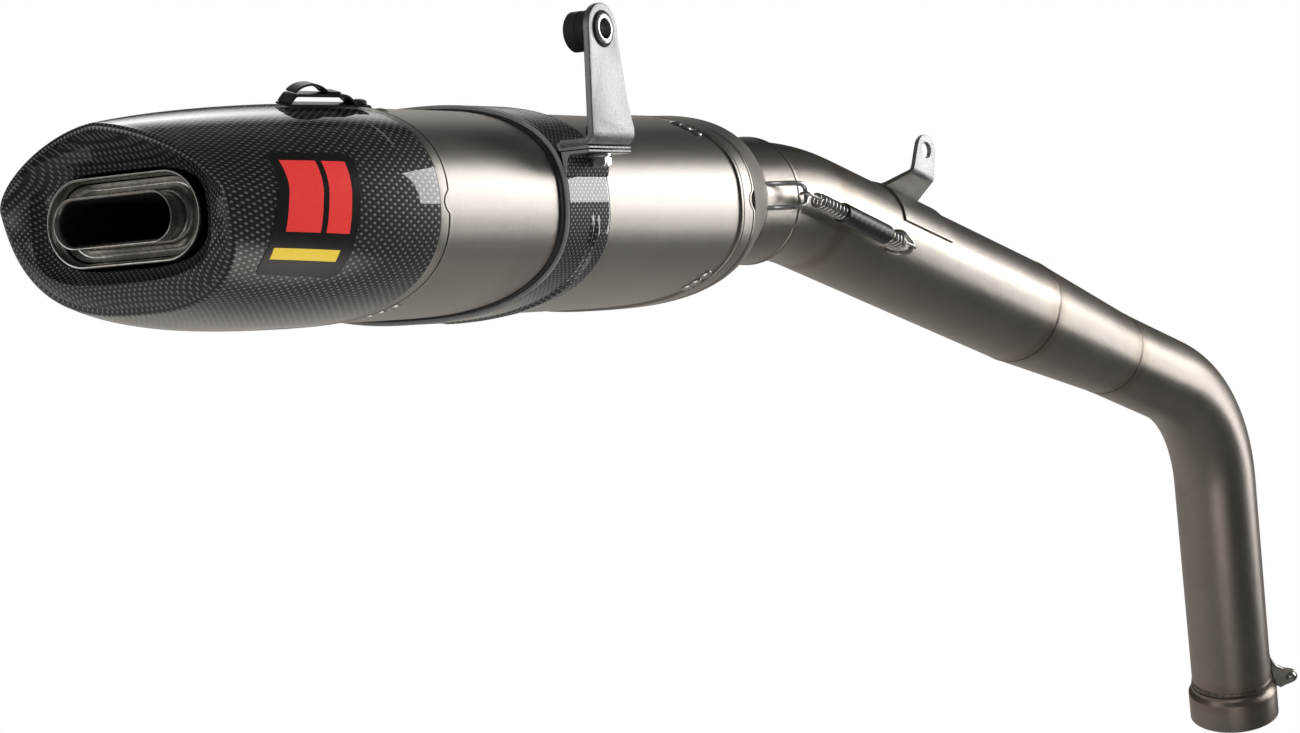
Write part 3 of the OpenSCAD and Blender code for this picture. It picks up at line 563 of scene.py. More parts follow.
def bead_look(name):
    """Weld bead: bronze and grey, with faint blue."""
    look = Look(name, Metallic=1.0)
    cloud = look.noise(look.place(), 190.0, 4.0, 0.6)
    fine = look.noise(look.place(), 800.0, 3.0)
    colour = look.blend(look.span(cloud, 0.35, 0.65), (0.15, 0.125, 0.105), (0.22, 0.205, 0.19))
    look.set("Base Color", look.blend(look.span(fine, 0.55, 0.75), colour, (0.13, 0.13, 0.155)))
    look.set("Roughness", look.math("MULTIPLY_ADD", fine, 0.2, 0.26))
    look.bump(fine, 0.1, 0.0004)
    return look.material


# UV lengths are in units of 100 mm
low_total = (LEG_L - LOW_TANGENT - COLLAR_END + LOW_BEND_R * LOW_TURN + MIDDLE_L) / 100
TI_LOW = titanium("titanium_lower", (0.30, 0.272, 0.245), (0.40, 0.368, 0.338), seams=(0.05, low_total - 0.01))
TI_CONE = titanium("titanium_cone", (0.31, 0.283, 0.255), (0.41, 0.38, 0.35), seams=(0.0, 1.02))
TI_HIGH = titanium("titanium_upper", (0.31, 0.283, 0.255), (0.42, 0.39, 0.36), seams=(0.02, 2.12))
TI_PLAIN = titanium("titanium_plain", (0.31, 0.286, 0.262), (0.42, 0.392, 0.362))
TI_SLEEVE = titanium("titanium_sleeve", (0.38, 0.354, 0.328), (0.46, 0.434, 0.406), grain=(700, 5),
                     rough=(0.36, 0.46), strength=0.14)
# painted shade: a near-black material for the floor and one wall of each hoop's groove and for the hoop's end face,
# standing in for the shadow there
TI_GROOVE_SHADE = soft("painted_groove_shade", (0.02, 0.018, 0.016), (0.05, 0.045, 0.04), rough=(0.4, 0.6))
CARBON = carbon("carbon_twill")
CARBON_STRAP = carbon("carbon_strap", (1.5, 1.5), turned=True)
CARBON_EDGE = soft("carbon_edge", (0.13, 0.13, 0.13), (0.20, 0.20, 0.20), rough=(0.35, 0.5), scale=700)
BRIGHT = metal("stainless", (0.46, 0.45, 0.44), (0.64, 0.63, 0.62), rough=(0.26, 0.36))
BLASTED = metal("blasted_alloy", (0.26, 0.26, 0.26), (0.40, 0.40, 0.40), rough=(0.42, 0.55), scale=700.0, bump=0.3)
PAINT = soft("black_paint", (0.010, 0.010, 0.010), (0.018, 0.018, 0.018), rough=(0.3, 0.42), scale=350,
             bump=0.12, level=0.5)
RUBBER = soft("rubber", (0.008, 0.008, 0.008), (0.016, 0.016, 0.016))
SILICONE = soft("silicone", (0.006, 0.006, 0.0065), (0.012, 0.012, 0.013), rough=(0.3, 0.42), bump=0.1, level=0.5)
SOOTY = sooty("smoked_stainless")
WOOL = soft("packing_wool", (0.42, 0.37, 0.24), (0.66, 0.60, 0.44), rough=(0.85, 0.95), scale=260, bump=0.6)
BEAD = bead_look("weld_bead")
PATCH = patch_look("plain_patch")


# ---------------------------------------------------------------- link pipe
def arc_points(at, direction, out_dir, radius, turn, steps):
    side = (out_dir - direction * out_dir.dot(direction)).normalized()
    centre = at + side * radius
    return [centre + (-side * math.cos(a) + direction * math.sin(a)) * radius for a in np.linspace(0, turn, steps)]


def straight(a, b, steps):
    return [a.lerp(b, t) for t in np.linspace(0, 1, steps)]


def pipe_piece(name, path, r_out, material, replaces, radii=None):
    part = Part()
    radii = radii if radii else [r_out] * len(path)
    outer = tube_rows(path, radii, 112)
    inner = tube_rows(path, [r - WALL for r in radii], 112)
    part.grid(outer)
    part.grid(inner, flip=True)
    part.grid([outer[0], inner[0]])
    part.grid([outer[-1], inner[-1]])
    return part.build(name, [material], "link_pipe", replaces)


low_start = LOW_CORNER - DIR_LOW * LOW_TANGENT
low_path = straight(DIR_LOW * COLLAR_END, low_start, 14)[:-1]
low_path += arc_points(low_start, DIR_LOW, DIR_MID, LOW_BEND_R, LOW_TURN, 36)
low_path += straight(LOW_CORNER + DIR_MID * LOW_TANGENT, CONE_START, 8)[1:]
pipe_piece("link_tube_lower", low_path, LOWER_R, TI_LOW, ("lower_pipe", "lower_elbow", "middle_pipe"))
cone_path = straight(CONE_START, CONE_END, 12)
pipe_piece("link_cone", cone_path, 0, TI_CONE, ("reducer_cone",), [mix(LOWER_R, UPPER_R, i / 11) for i in range(12)])
high_entry = HIGH_CORNER - DIR_MID * HIGH_TANGENT
high_path = straight(CONE_END, high_entry, 20)[:-1]
high_path += arc_points(high_entry, DIR_MID, DIR_TOP, HIGH_BEND_R, HIGH_TURN, 18)
high_path += straight(HIGH_EXIT, Vector((HIGH_EXIT.x - 40, HIGH_CORNER.y, HIGH_CORNER.z)), 6)[1:]
pipe_piece("link_tube_upper", high_path, UPPER_R, TI_HIGH, ("upper_pipe", "upper_elbow", "slip_spigot"))

collar = Part()
bore = 27.1
revolve(collar, [
    (0.0, bore + 0.2), (0.0, bore + 0.9), (0.25, bore + 1.2), (17.4, bore + 1.2), (18.2, bore + 1.05),
    (20.2, 26.7), (21.2, 26.2), (23.0, 26.2), (23.0, 25.46), (19.0, 25.46), (19.0, 24.2),
    (18.0, 24.2), (18.0, bore), (0.3, bore),
], Vector((0, 0, 0)), DIR_LOW, 128)
TI_COLLAR = titanium("titanium_collar", (0.27, 0.245, 0.22), (0.37, 0.34, 0.31), seams=(0.20,), tint_width=0.14)
collar.build("collar_ring", [TI_COLLAR], "link_pipe", ("inlet_collar",), angle=28)


def bead(part, at, direction, r, width=2.1, height=0.55, ripples=78):
    """A welded seam with overlapping ripples."""
    direction = direction.normalized()
    u, v = across(direction)
    rows = []
    for k in range(9):
        s = k / 8 * 2 - 1
        row = []
        for a in round_angles(ripples * 8):
            wave = (a * ripples / (2 * math.pi) + 0.28 * s * s) % 1.0
            lift = height * (1 - s * s) * (0.62 + 0.38 * math.sin(math.pi * wave) ** 0.7) - 0.04
            wander = 0.18 * math.sin(3 * a) + 0.1 * math.sin(11 * a)
            row.append(at + direction * (s * width + wander) + (u * math.cos(a) + v * math.sin(a)) * (r + lift))
        rows.append(row)
    part.grid(rows)


seams = Part()
bead(seams, DIR_LOW * 24.6, DIR_LOW, LOWER_R)
bead(seams, CONE_START, DIR_MID, LOWER_R, 1.4, 0.24)
bead(seams, CONE_END, DIR_MID, UPPER_R, 1.4, 0.24, 90)
seams.build("seam_beads", [BEAD], "link_pipe", ("weld_seams",), angle=60)

# spring hook beside the collar
hook = Part()
HOOK_TURN = math.radians(-57)
leg_x = (Vector((1, 0, 0)) - DIR_LOW * DIR_LOW.x).normalized()
leg_y = DIR_LOW.cross(leg_x)
hook_out = leg_x * math.cos(HOOK_TURN) + leg_y * math.sin(HOOK_TURN)
hook_side = DIR_LOW.cross(hook_out)
root = 28.3
hz = 21.5
gusset = [(-2.6, -0.5), (-1.0, -3.2), (0.2, -5.4), (2.6, -7.2), (6, -5.9)]
gusset += [(9.5 + 4.7 * math.cos(a), 4.7 * math.sin(a)) for a in np.linspace(-1.35, 1.35, 12)]
gusset += [(6, 6.0), (1.6, 8.6), (-0.6, 11.5), (-2.2, 16.0), (-2.9, 18.0)]
plate(hook, [(root + a, hz + b) for a, b in gusset], 3.4,
      lambda a, b, c: hook_out * a + DIR_LOW * b + hook_side * c, bevel=1.0)
ball_profile = [(3.7 * math.sin(a), max(0.02, 3.7 * math.cos(a))) for a in np.linspace(-math.pi / 2, math.pi / 2, 20)]
revolve(hook, ball_profile, hook_out * (root + 9.8) + DIR_LOW * hz, hook_side, 40, loop=False)
HOOK_STEEL = metal("hook_steel", (0.40, 0.385, 0.37), (0.55, 0.54, 0.52), rough=(0.2, 0.32))
hook.build("collar_hook", [HOOK_STEEL], "link_pipe", ("inlet_hook",))


# ---------------------------------------------------------------- bracket on the upper pipe
def beside(distance, r, angle):
    a = math.radians(angle)
    return CONE_END + DIR_MID * distance + MID_UP * (r * math.cos(a)) + MID_SIDE * (r * math.sin(a))


doubler = Part()
DOUBLER_AT = 114
doubler_profile = ((0, 0.0), (0.0, 0.9), (0.35, 1.2), (45.65, 1.2), (46, 0.9), (46, 0.0))
rows = []
for s, extra in doubler_profile:
    rows.append([beside(DOUBLER_AT + s, UPPER_R + 0.04 + extra, a) for a in np.linspace(-76, 12, 60)])
doubler.grid(rows, wrap=False)
for column, angle in ((0, -76.8), (-1, 12.8)):
    edge = [beside(DOUBLER_AT + s, UPPER_R + 0.04, angle) for s, extra in doubler_profile]
    doubler.grid([[r[column] for r in rows], edge], wrap=False)
doubler.build("doubler_plate", [TI_PLAIN], "link_pipe", ("bracket_doubler",))

foot = (UPPER_R + 2.5, -3.0)
slope = math.hypot(9, 14)
foot_dir = (9 / slope, -14 / slope)
TAB_AT = 130
TAB_BEND_R = 3.0
TAB_BEND_AT = slope - 1.5
TAB_TURN = math.acos(foot_dir[0])

def on_tab(a, b, c):
    """a runs along the pipe, b up the bent plate from its welded foot, and c through it."""
    first = math.atan2(foot_dir[1], foot_dir[0])
    past = b - TAB_BEND_AT
    angle = first + TAB_TURN * min(1.0, max(0.0, past / (TAB_BEND_R * TAB_TURN)))
    run = min(b, TAB_BEND_AT)
    rest = max(0.0, past - TAB_BEND_R * TAB_TURN)
    x = foot[0] + foot_dir[0] * run + (math.sin(angle) - math.sin(first)) * TAB_BEND_R + rest
    y = foot[1] + foot_dir[1] * run + (math.cos(first) - math.cos(angle)) * TAB_BEND_R
    side = MID_UP * (x - math.sin(angle) * c) + MID_SIDE * (y + math.cos(angle) * c)
    return CONE_END + DIR_MID * (TAB_AT + a) + side

bracket = Part()
tab_r = 8.5
top = TAB_BEND_AT + TAB_BEND_R * TAB_TURN + 12.4
head = [(tab_r * math.cos(a), top + tab_r * math.sin(a)) for a in np.linspace(0.15, math.pi - 0.15, 18)]
flank = [(17, 0.0), (15.6, 2.0), (10.4, slope - 1.0), (9.6, slope + 3)]
plate(bracket, [(-17, 0.0)] + flank + head + [(-a, b) for a, b in flank[:0:-1]],
      2.5, on_tab, holes=[(0, top, 4.25)], bevel=0.35,
      cuts=[TAB_BEND_AT + k * 0.45 for k in range(8)])
rod(bracket, [beside(TAB_AT + s, UPPER_R + 1.6, -6.0) for s in np.linspace(-16.5, 16.5, 24)], 1.1, 12)
bracket.build("frame_bracket", [BLASTED], "link_pipe", ("pipe_bracket",))

for side, name in ((-1, "near"), (1, "far")):
    a = side * HOOK_ANGLE
    wire_hook = Part()
    bends = [(0, -0.6, -9), (2.4, 4.5, -9.4), (1, 8.0, -8), (-4.6, 9.8, -3.2)]
    bends += [(s, lift, -turn) for s, lift, turn in bends[::-1]]
    path = rounded([beside(HOOK_AT + s, UPPER_R + lift, a + turn) for s, lift, turn in bends], 6)
    rod(wire_hook, path, 1.3, 14)
    wire_hook.build("pipe_loop_" + name, [BRIGHT], "link_pipe", ("pipe_hook_" + name,))

# ---------------------------------------------------------------- muffler shell
neck = Part()
revolve(neck, [
    (0.1, NECK_R - 1.9), (0.1, NECK_R), (30.6, NECK_R), (31.0, NECK_R + 0.3), (31.6, NECK_R + 0.5),
    (33.4, NECK_R + 0.5),
    (34.0, NECK_R + 0.1), (34.0, NECK_R - 1.6), (33.6, NECK_R - 1.9),
], MUFFLER + Vector((NECK_START, 0, NECK_RISE)), Vector((1, 0, 0)), 128)
neck.build("neck_ring", [TI_PLAIN], "muffler", ("inlet_neck",), angle=28)
neck_bead = Part()
bead(neck_bead, MUFFLER + Vector((NECK_START + 0.4, 0, NECK_RISE)), Vector((1, 0, 0)), NECK_R - 0.1, 1.3, 0.35, 96)
neck_bead.build("neck_weld", [BEAD], "muffler", angle=60)


def front_ring(t, inset):
    return ring(mix(CAP_W, NECK_R, t ** 1.12) - inset, mix(CAP_H, NECK_R, t ** 1.6) - inset,
                mix(SLEEVE_N, 2, min(1, t * 1.2)),
                SLEEVE_L + FRONT_BAND_L + 0.08 + t * (FRONT_CAP_L - 0.08), NECK_RISE * smooth(t * 1.7))


front = Part()
steps = 36
skin_out = [front_ring(i / steps, 0) for i in range(steps + 1)]
skin_in = [front_ring(1 - i / steps, 1.5) for i in range(steps + 1)]
front.grid(skin_out + skin_in, loop=True)
front.build("front_cone", [TI_SLEEVE], "muffler", ("front_cap",))


def band_rows(profile, notch_at):
    """A hoop round the sleeve from (x, lift) pairs. Past notch_at, the edge turns in at each nose."""
    section = oval(CAP_W, CAP_H, SLEEVE_N)
    under = 0.06 - BAND_T
    rows = []
    for x, lift in (*profile, (profile[-1][0], under), (profile[0][0], under)):
        row = []
        for (y, z), (near_y, near_z) in zip(oval(CAP_W + lift, CAP_H + lift, SLEEVE_N), section):
            notch = NOTCH_L * min(1.0, max(0.0, 1 - (abs(near_z) - 1.6) / 3.3)) if x > notch_at else 0.0
            row.append((x - notch, y, z))
        rows.append(local(row))
    return rows

def hoop(name, profile, replaced, notch_at):
    part = Part()
    rows = band_rows(profile, notch_at)
    # these faces take the painted shade: the groove's floor and one wall, and the hoop's end face
    dark = (len(profile) - 2, len(profile) - 7, len(profile) - 8)
    part.grid(rows, loop=True, row_slots=[1 if i in dark else 0 for i in range(len(rows))])
    part.build(name, [TI_SLEEVE, TI_GROOVE_SHADE], "muffler", (replaced,), angle=25)

def stations(x0, x1, groove):
    """Band profile with rounded edges and one engraved groove."""
    out = [(x0, -0.25), (x0 + 0.2, -0.05), (x0 + 0.5, 0.0)]
    if groove:
        out += [(groove - 0.4, 0.0), (groove - 0.25, -0.3), (groove + 0.25, -0.3), (groove + 0.4, 0.0)]
    edge = ((2.6, 0.0), (2.45, -0.3), (1.75, -0.3), (1.6, 0.0), (1.0, 0.05), (0.4, 0.0),
            (0.15, -0.1), (0, -0.35), (0, -0.98))
    return out + [(x1 - back, lift) for back, lift in edge]


hoop("rear_hoop", stations(0.08, REAR_BAND_L, None), "rear_band", REAR_BAND_L - 2.75)
front_end = SLEEVE_L + FRONT_BAND_L
hoop("front_hoop", stations(SLEEVE_L, front_end, SLEEVE_L + 2.0), "front_band", front_end - 2.75)

sleeve = Part()
outer = [ring(SLEEVE_W, SLEEVE_H, SLEEVE_N, x) for x in np.linspace(-16, SLEEVE_L + FRONT_BAND_L, 27)]
inner = [ring(SLEEVE_W - 1, SLEEVE_H - 1, SLEEVE_N, x) for x in np.linspace(SLEEVE_L + FRONT_BAND_L, -16, 27)]
sleeve.grid(outer + inner, loop=True)
sleeve.build("sleeve_shell", [TI_SLEEVE], "muffler", ("outer_sleeve",))


def cap_w(t):
    return mix(CAP_W, RIM_W, t ** 2.1)


def cap_h(t):
    return mix(CAP_H, RIM_H, t ** 2.2)


def cap_n(t):
    return mix(SLEEVE_N, RIM_N, t ** 1.3)


def cap_top(t):
    return mix(SLEEVE_N, RIM_TOP, t ** 1.3)


def cap_nose(t):
    return RIM_NOSE * t ** 1.6


def cap_ring(t, inset):
    return ring(cap_w(t) - inset, cap_h(t) - inset, cap_n(t), -t * (END_CAP_L - 3), 0,
                RIM_RAKE * t * t, cap_top(t), cap_nose(t))


def cap_side(t, z, lift):
    """Half-width of the cap at height z."""
    above = z > cap_nose(t)
    n = cap_top(t) if above else cap_n(t)
    tall = cap_h(t) + lift + (-1 if above else 1) * cap_nose(t)
    return (cap_w(t) + lift) * max(0.0, 1 - (abs(z - cap_nose(t)) / tall) ** n) ** (1 / n)


def cap_height(x, y):
    """Height of the cap's upper side."""
    t = -x / (END_CAP_L - 3)
    n = cap_top(t)
    return cap_nose(t) + (cap_h(t) - cap_nose(t)) * (1 - (abs(y) / cap_w(t)) ** n) ** (1 / n)


def face_ring(u, depth):
    return ring(mix(RIM_W - 3, CREASE_W, u), mix(RIM_H - 3, CREASE_H, u), mix(RIM_N, POCKET_N, u),
                -END_CAP_L + 0.6 + u * 2.6 + depth, 0, RIM_RAKE * (1 - u) ** 1.1,
                mix(RIM_TOP, POCKET_N, u ** 0.8), RIM_NOSE * (1 - u))


cap = Part()
steps = 40
outside = [cap_ring(i / steps, 0) for i in range(steps + 1)]
for a in np.linspace(0, 90, 6)[1:]:
    c = math.cos(math.radians(a))
    s = math.sin(math.radians(a))
    inset = 3 * (1 - c)
    outside.append(ring(RIM_W - inset, RIM_H - inset, RIM_N, -END_CAP_L + 3 - 2.4 * s, 0, RIM_RAKE, RIM_TOP, RIM_NOSE))
cap.grid(outside)
inward = [outside[-1]]
for i in range(1, 17):
    inward.append(face_ring(i / 16, 0))
for k in range(1, 8):
    t = k / 7
    x = -END_CAP_L + mix(3.2, 8, t) + 0.7 * math.sin(math.pi * t)
    inward.append(ring(mix(CREASE_W, POCKET_W, t), mix(CREASE_H, POCKET_H, t), POCKET_N, x))
for x in (8.4, 10.0, 13.0, 16.0):
    inward.append(ring(POCKET_W - 0.25, POCKET_H - 0.25, POCKET_N, -END_CAP_L + x))
flat_uv = []
for r in inward:
    row = []
    for p in r:
        y = p[1] - MUFFLER.y
        z = p[2] - MUFFLER.z
        depth = p[0] - MUFFLER.x + END_CAP_L - 0.6 + z * 0.287
        row.append((y * 0.017, z * 0.0112 + depth * 0.006))
    flat_uv.append(row + row[:1])
cap.grid(inward, uv=flat_uv)
back = [ring(POCKET_W + 2.2, POCKET_H + 2.2, POCKET_N, -END_CAP_L + x) for x in (16, 10)]
back += [face_ring(1 - i / 8, 2.8) for i in range(8)]
back += [cap_ring(1 - i / 20, 2.2) for i in range(1, 17)]
back += [ring(SLEEVE_W + 0.08, SLEEVE_H + 0.08, SLEEVE_N, x) for x in (-18, 0)]
cap.grid([inward[-1]] + back + [outside[0]], slot=1)
cap.build("carbon_cap", [CARBON, CARBON_EDGE], "muffler", ("end_cap",), angle=26)


# ---------------------------------------------------------------- rivets
def on_sleeve(x, angle):
    a = math.radians(angle)
    c = math.cos(a)
    s = math.sin(a)
    y = SLEEVE_W * math.copysign(abs(c) ** (2 / SLEEVE_N), c)
    z = SLEEVE_H * math.copysign(abs(s) ** (2 / SLEEVE_N), s)
    gy = math.copysign(abs(y / SLEEVE_W) ** (SLEEVE_N - 1), y) / SLEEVE_W
    gz = math.copysign(abs(z / SLEEVE_H) ** (SLEEVE_N - 1), z) / SLEEVE_H
    return MUFFLER + Vector((x, y, z)), Vector((0, gy, gz)).normalized()


rivet_profile = [(-1.6, 0.4), (-1.6, 1.5), (0.12, 1.5), (0.12, 2.95), (0.35, 3.0), (0.75, 2.75), (1.15, 2.1),
                 (1.4, 1.3), (1.42, 0.85), (1.05, 0.7), (1.05, 0.05)]
for x, first, end in ((12.5, 109, "rear"), (SLEEVE_L - 5, 126, "front")):
    heads = Part()
    for mirror in (0, 180):
        for s in (-1, 1):
            for d in (0, 4.8, 11.2):
                at, normal = on_sleeve(x, mirror + s * (first + d))
                revolve(heads, rivet_profile, at, normal, 32, loop=False)
    heads.build(end + "_rivet_heads", [BRIGHT], "muffler", (end + "_rivets",), angle=40)


# ---------------------------------------------------------------- outlet and insert
def slot_part(name, body, node, rows):
    part = Part()
    part.grid(rows, loop=True)
    part.build(name, [SOOTY], body, (node,), angle=50)

def dish_ring(t, x):
    hollow = 3.0 * math.sin(math.pi * min(1, t * 1.15)) - 2.0 * t
    return slot_ring(mix(21.5, 20, t), mix(15.1, 9.5, t), x + hollow)

lip = ((-76, 16.8), (-91.4, 16.8), (-92.4, 16.95), (-93.0, 17.4), (-93.7, 17.6), (-94.15, 17.3), (-94.2, 16.8),
       (-93.8, 16.35), (-93.1, 16.15), (-92.2, 16.0), (-91.0, 15.65), (-88.0, 15.6), (-40, 15.6), (-24, 15.6),
       (-24, 16.8))
slot_part("outlet_lip", "muffler", "outlet_tube", [slot_ring(21.5, r, x) for x, r in lip])
dish_rows = [dish_ring(k / 8, -88.5) for k in range(9)]
dish_rows += [dish_ring(1 - k / 8, -87.5) for k in range(9)]
slot_part("insert_dish", "insert", "insert_plate", dish_rows)
mouth = ((-29.6, 9.4), (-96.8, 9.4), (-98.0, 9.55), (-98.9, 10.0), (-99.5, 10.2), (-99.95, 10.0), (-99.9, 9.5),
         (-99.2, 8.9), (-98.2, 8.35), (-96.6, 8.2), (-29.6, 8.2))
slot_part("insert_mouth", "insert", "insert_tube", [slot_ring(20, r, x) for x, r in mouth])

# ---------------------------------------------------------------- hooks on the neck
for side, name in ((-1, "near"), (1, "far")):
    hook_part = Part()
    x = NECK_START + 4
    base = math.sqrt(NECK_R ** 2 - 36)
    points = [(-3, -0.6, 6), (0, 0.7, 6), (6, 2.6, 6), (15, 7.0, 5.8), (19.4, 8.3, 4.6), (21, 8.5, 1.6)]
    points += [(a, b, -c) for a, b, c in points[::-1]]
    path = rounded([MUFFLER + Vector((x + a, side * (base + b), NECK_RISE + c)) for a, b, c in points], 6)
    rod(hook_part, path, 1.3, 14)
    hook_part.build("neck_loop_" + name, [BRIGHT], "muffler", ("neck_hook_" + name,))

    # spring from the neck's loop to the pipe's loop
    a = MUFFLER + Vector((x + 21, side * (base + 8.5), NECK_RISE))
    b = beside(HOOK_AT - 4.6, UPPER_R + 9.8, side * HOOK_ANGLE)
    axis = (b - a).normalized()
    u = axis.cross(Vector((0, 0, 1))).normalized()
    v = axis.cross(u)
    full = (b - a).length
    path = [a + axis * (-2.5 * math.cos(t)) + u * (2.5 * math.sin(t)) for t in np.linspace(-0.9, 1.7, 14)]
    first = 9.5
    turns = 25
    coil = full - 2 * first
    for i in range(turns * 16 + 1):
        phi = 2 * math.pi * i / 16 + math.pi / 2
        grow = min(1.0, 0.62 + i / 14, 0.62 + (turns * 16 - i) / 14)
        path.append(a + axis * (first + coil * i / (turns * 16)) + (u * math.sin(phi) + v * math.cos(phi)) * 3.5 * grow)
    path += [b - axis * (-2.5 * math.cos(t)) + u * (2.5 * math.sin(t)) for t in np.linspace(1.7, -0.9, 14)]
    coil_part = Part()
    rod(coil_part, path, 0.8, 8)
    coil_part.build("tension_spring_" + name, [BRIGHT], None, ("spring_" + name,), angle=60,
                    blend=("muffler", "link_pipe", tuple(a * MM), tuple(b * MM)))
    tube = Part()
    s0 = full * 0.33
    s1 = full * 0.75
    profile = [(s0, 4.6), (s0, 4.95), (s0 + 0.4, 5.25)]
    profile += [(s, 5.25 + 0.06 * math.sin(s * 1.3)) for s in np.linspace(s0 + 1, s1 - 1, 40)]
    profile += [(s1 - 0.4, 5.25), (s1, 4.95), (s1, 4.6)]
    profile += [(s, 4.6) for s in np.linspace(s1 - 1, s0 + 1, 12)]
    revolve(tube, profile, a, axis, 40)
    tube.build("spring_cover_" + name, [SILICONE], None, ("spring_sleeve_" + name,),
               blend=("muffler", "link_pipe", tuple(a * MM), tuple(b * MM)))

# ---------------------------------------------------------------- clamp
lining = Part()
rows = []
for x, lift in ((-3, 0.0), (-3, 0.5), (-2.7, 0.8), (-0.4, 0.8), (10, 0.8), (CLAMP_L + 0.7, 0.8),
                (CLAMP_L + 1, 0.5), (CLAMP_L + 1, 0.0)):
    rows.append(ring(SLEEVE_W + 0.08 + lift, SLEEVE_H + 0.08 + lift, SLEEVE_N, CLAMP_X + x))
lining.grid(rows, loop=True)
lining.build("clamp_liner", [RUBBER], "muffler", ("clamp_lining",))

strap = Part()
strap_x = [0.0, 0.25, 0.7, 1.6] + [2.4 + k * 0.7 for k in range(40)]
strap_x += [CLAMP_L - 1.6, CLAMP_L - 0.7, CLAMP_L - 0.25, CLAMP_L]
edge_drop = [-0.7, -0.28, -0.06]
strap_drop = edge_drop + [0.0] * (len(strap_x) - 6) + edge_drop[::-1]
outline = oval(STRAP_W, STRAP_H, SLEEVE_N)
inner_outline = oval(SLEEVE_W + 0.96, SLEEVE_H + 0.96, SLEEVE_N)
rows = []
for k, x in enumerate(strap_x):
    row = []
    for (y, z), (iy, iz) in zip(outline, inner_outline):
        depth = Vector((y - iy, z - iz))
        lift = strap_drop[k]
        if y < 0 and z < -8:
            # moulded rib low on the near half
            centre = 19.5 - 0.06 * (z + 8)
            fade = smooth((-8 - z) / 3.0)
            gap = abs(x - centre)
            lift += fade * (0.75 * math.exp(-((gap - 2.1) / 0.75) ** 2) - 0.25 * math.exp(-(gap / 1.2) ** 2))
        if z > EAR_TOP + 1 and y < 20 and 3 < x < CLAMP_L - 3:
            # ribbed upper half
            lift += -0.30 * smooth((z - EAR_TOP - 1) / 3) * (0.5 - 0.5 * math.cos(2 * math.pi * (x - 3) / 3.3))
        unit = depth.normalized()
        row.append((CLAMP_X + x, y + unit[0] * lift, z + unit[1] * lift))
    rows.append(local(row))
edge_slots = [1 if k < 2 or k > len(strap_x) - 4 else 0 for k in range(len(strap_x) - 1)]
inner_rows = [local([(CLAMP_X + x, y, z) for y, z in inner_outline]) for x in (CLAMP_L, 0)]
strap.grid(rows + inner_rows, loop=True, row_slots=edge_slots + [1, 1, 1])
low0 = EAR_TOP - 3.0
low1 = EAR_TOP - 1.75
low_ear = [(-STRAP_W + 0.5, low0 - 9), (-STRAP_W - 0.1, low0 - 6.5), (-STRAP_W - 0.7, low0 - 2.6),
           (-STRAP_W - 1.3, low0 - 0.9), (-STRAP_W - 2.2, low0), (-EAR_OUT + 0.4, low0), (-EAR_OUT, low0 + 0.4),
           (-EAR_OUT, low1 - 0.2), (-EAR_OUT + 0.2, low1), (-STRAP_W + 2.0, low1), (-STRAP_W + 1.2, low0 - 4)]
high0 = EAR_TOP - 1.25
high_ear = [(-STRAP_W + 3.0, high0), (-EAR_OUT + 0.2, high0), (-EAR_OUT, high0 + 0.2), (-EAR_OUT, EAR_TOP - 0.4),
            (-EAR_OUT + 0.4, EAR_TOP), (-STRAP_W - 0.6, EAR_TOP), (-STRAP_W + 2.2, EAR_TOP + 2.2),
            (-STRAP_W + 4.0, EAR_TOP + 2.0)]
for section in (low_ear, high_ear):
    for x0, x1, s in ((0.0, 0.3, 1), (0.3, CLAMP_L - 0.3, 0), (CLAMP_L - 0.3, CLAMP_L, 1)):
        strap.grid([local([(CLAMP_X + x, y, z) for y, z in section]) for x in (x0, x1)], slot=s)
    for x in (0.0, CLAMP_L):
        strap.fan(local([(CLAMP_X + x, y, z) for y, z in section]), slot=1)
strap.build("carbon_strap_ring", [CARBON_STRAP, CARBON_EDGE], "muffler", ("clamp_strap",), angle=24)

# hanger arm: one bent plate
ARM_Y = -EAR_OUT - 3.05
EYE_X = CLAMP_X + 12.5
EYE_Z = 71.0
BOLT_X = CLAMP_X + CLAMP_L / 2
BOLT_Y = -STRAP_W - 6.4
BEND_R = 4.0
foot_z = EAR_TOP + 0.05 + 1.5
flat_len = (-STRAP_W + 2) - (ARM_Y + 1.5 + BEND_R)
arc_len = BEND_R * math.pi / 2


def on_arm(a, b, c):
    """a is x, b runs out along the foot and then up the arm, and c goes through the plate."""
    if b <= flat_len:
        return MUFFLER + Vector((a, -STRAP_W + 2 - b, foot_z - c))
    if b <= flat_len + arc_len:
        t = (b - flat_len) / BEND_R
        r = BEND_R + c
        return MUFFLER + Vector((a, ARM_Y + 1.5 + BEND_R - r * math.sin(t), foot_z + BEND_R - r * math.cos(t)))
    return MUFFLER + Vector((a, ARM_Y + 1.5 - c, foot_z + BEND_R + b - flat_len - arc_len))


def arm_b(z):
    return flat_len + arc_len + z - foot_z - BEND_R


arm = Part()
EYE_R = 11
arm_end = CLAMP_X + CLAMP_L
arm_edge = [(CLAMP_X - 0.5, 0.0), (arm_end - 0.5, 0.0), (arm_end - 0.8, arm_b(30)), (arm_end - 5, arm_b(EAR_TOP + 20))]
for t in np.linspace(-0.12, math.pi + 0.12, 28):
    arm_edge.append((EYE_X + EYE_R * math.cos(t), arm_b(EYE_Z) + EYE_R * math.sin(t)))
arm_edge.append((CLAMP_X - 0.2, arm_b(34)))
plate(arm, arm_edge, 3.0, on_arm,
      holes=[(EYE_X, arm_b(EYE_Z), 7.6), (BOLT_X, -STRAP_W + 2 - BOLT_Y, 3.2)], bevel=0.45,
      cuts=[flat_len + arc_len * k / 8 for k in range(9)])
arm.build("hanger_plate", [BLASTED], "muffler", ("hanger_arm",), angle=40)

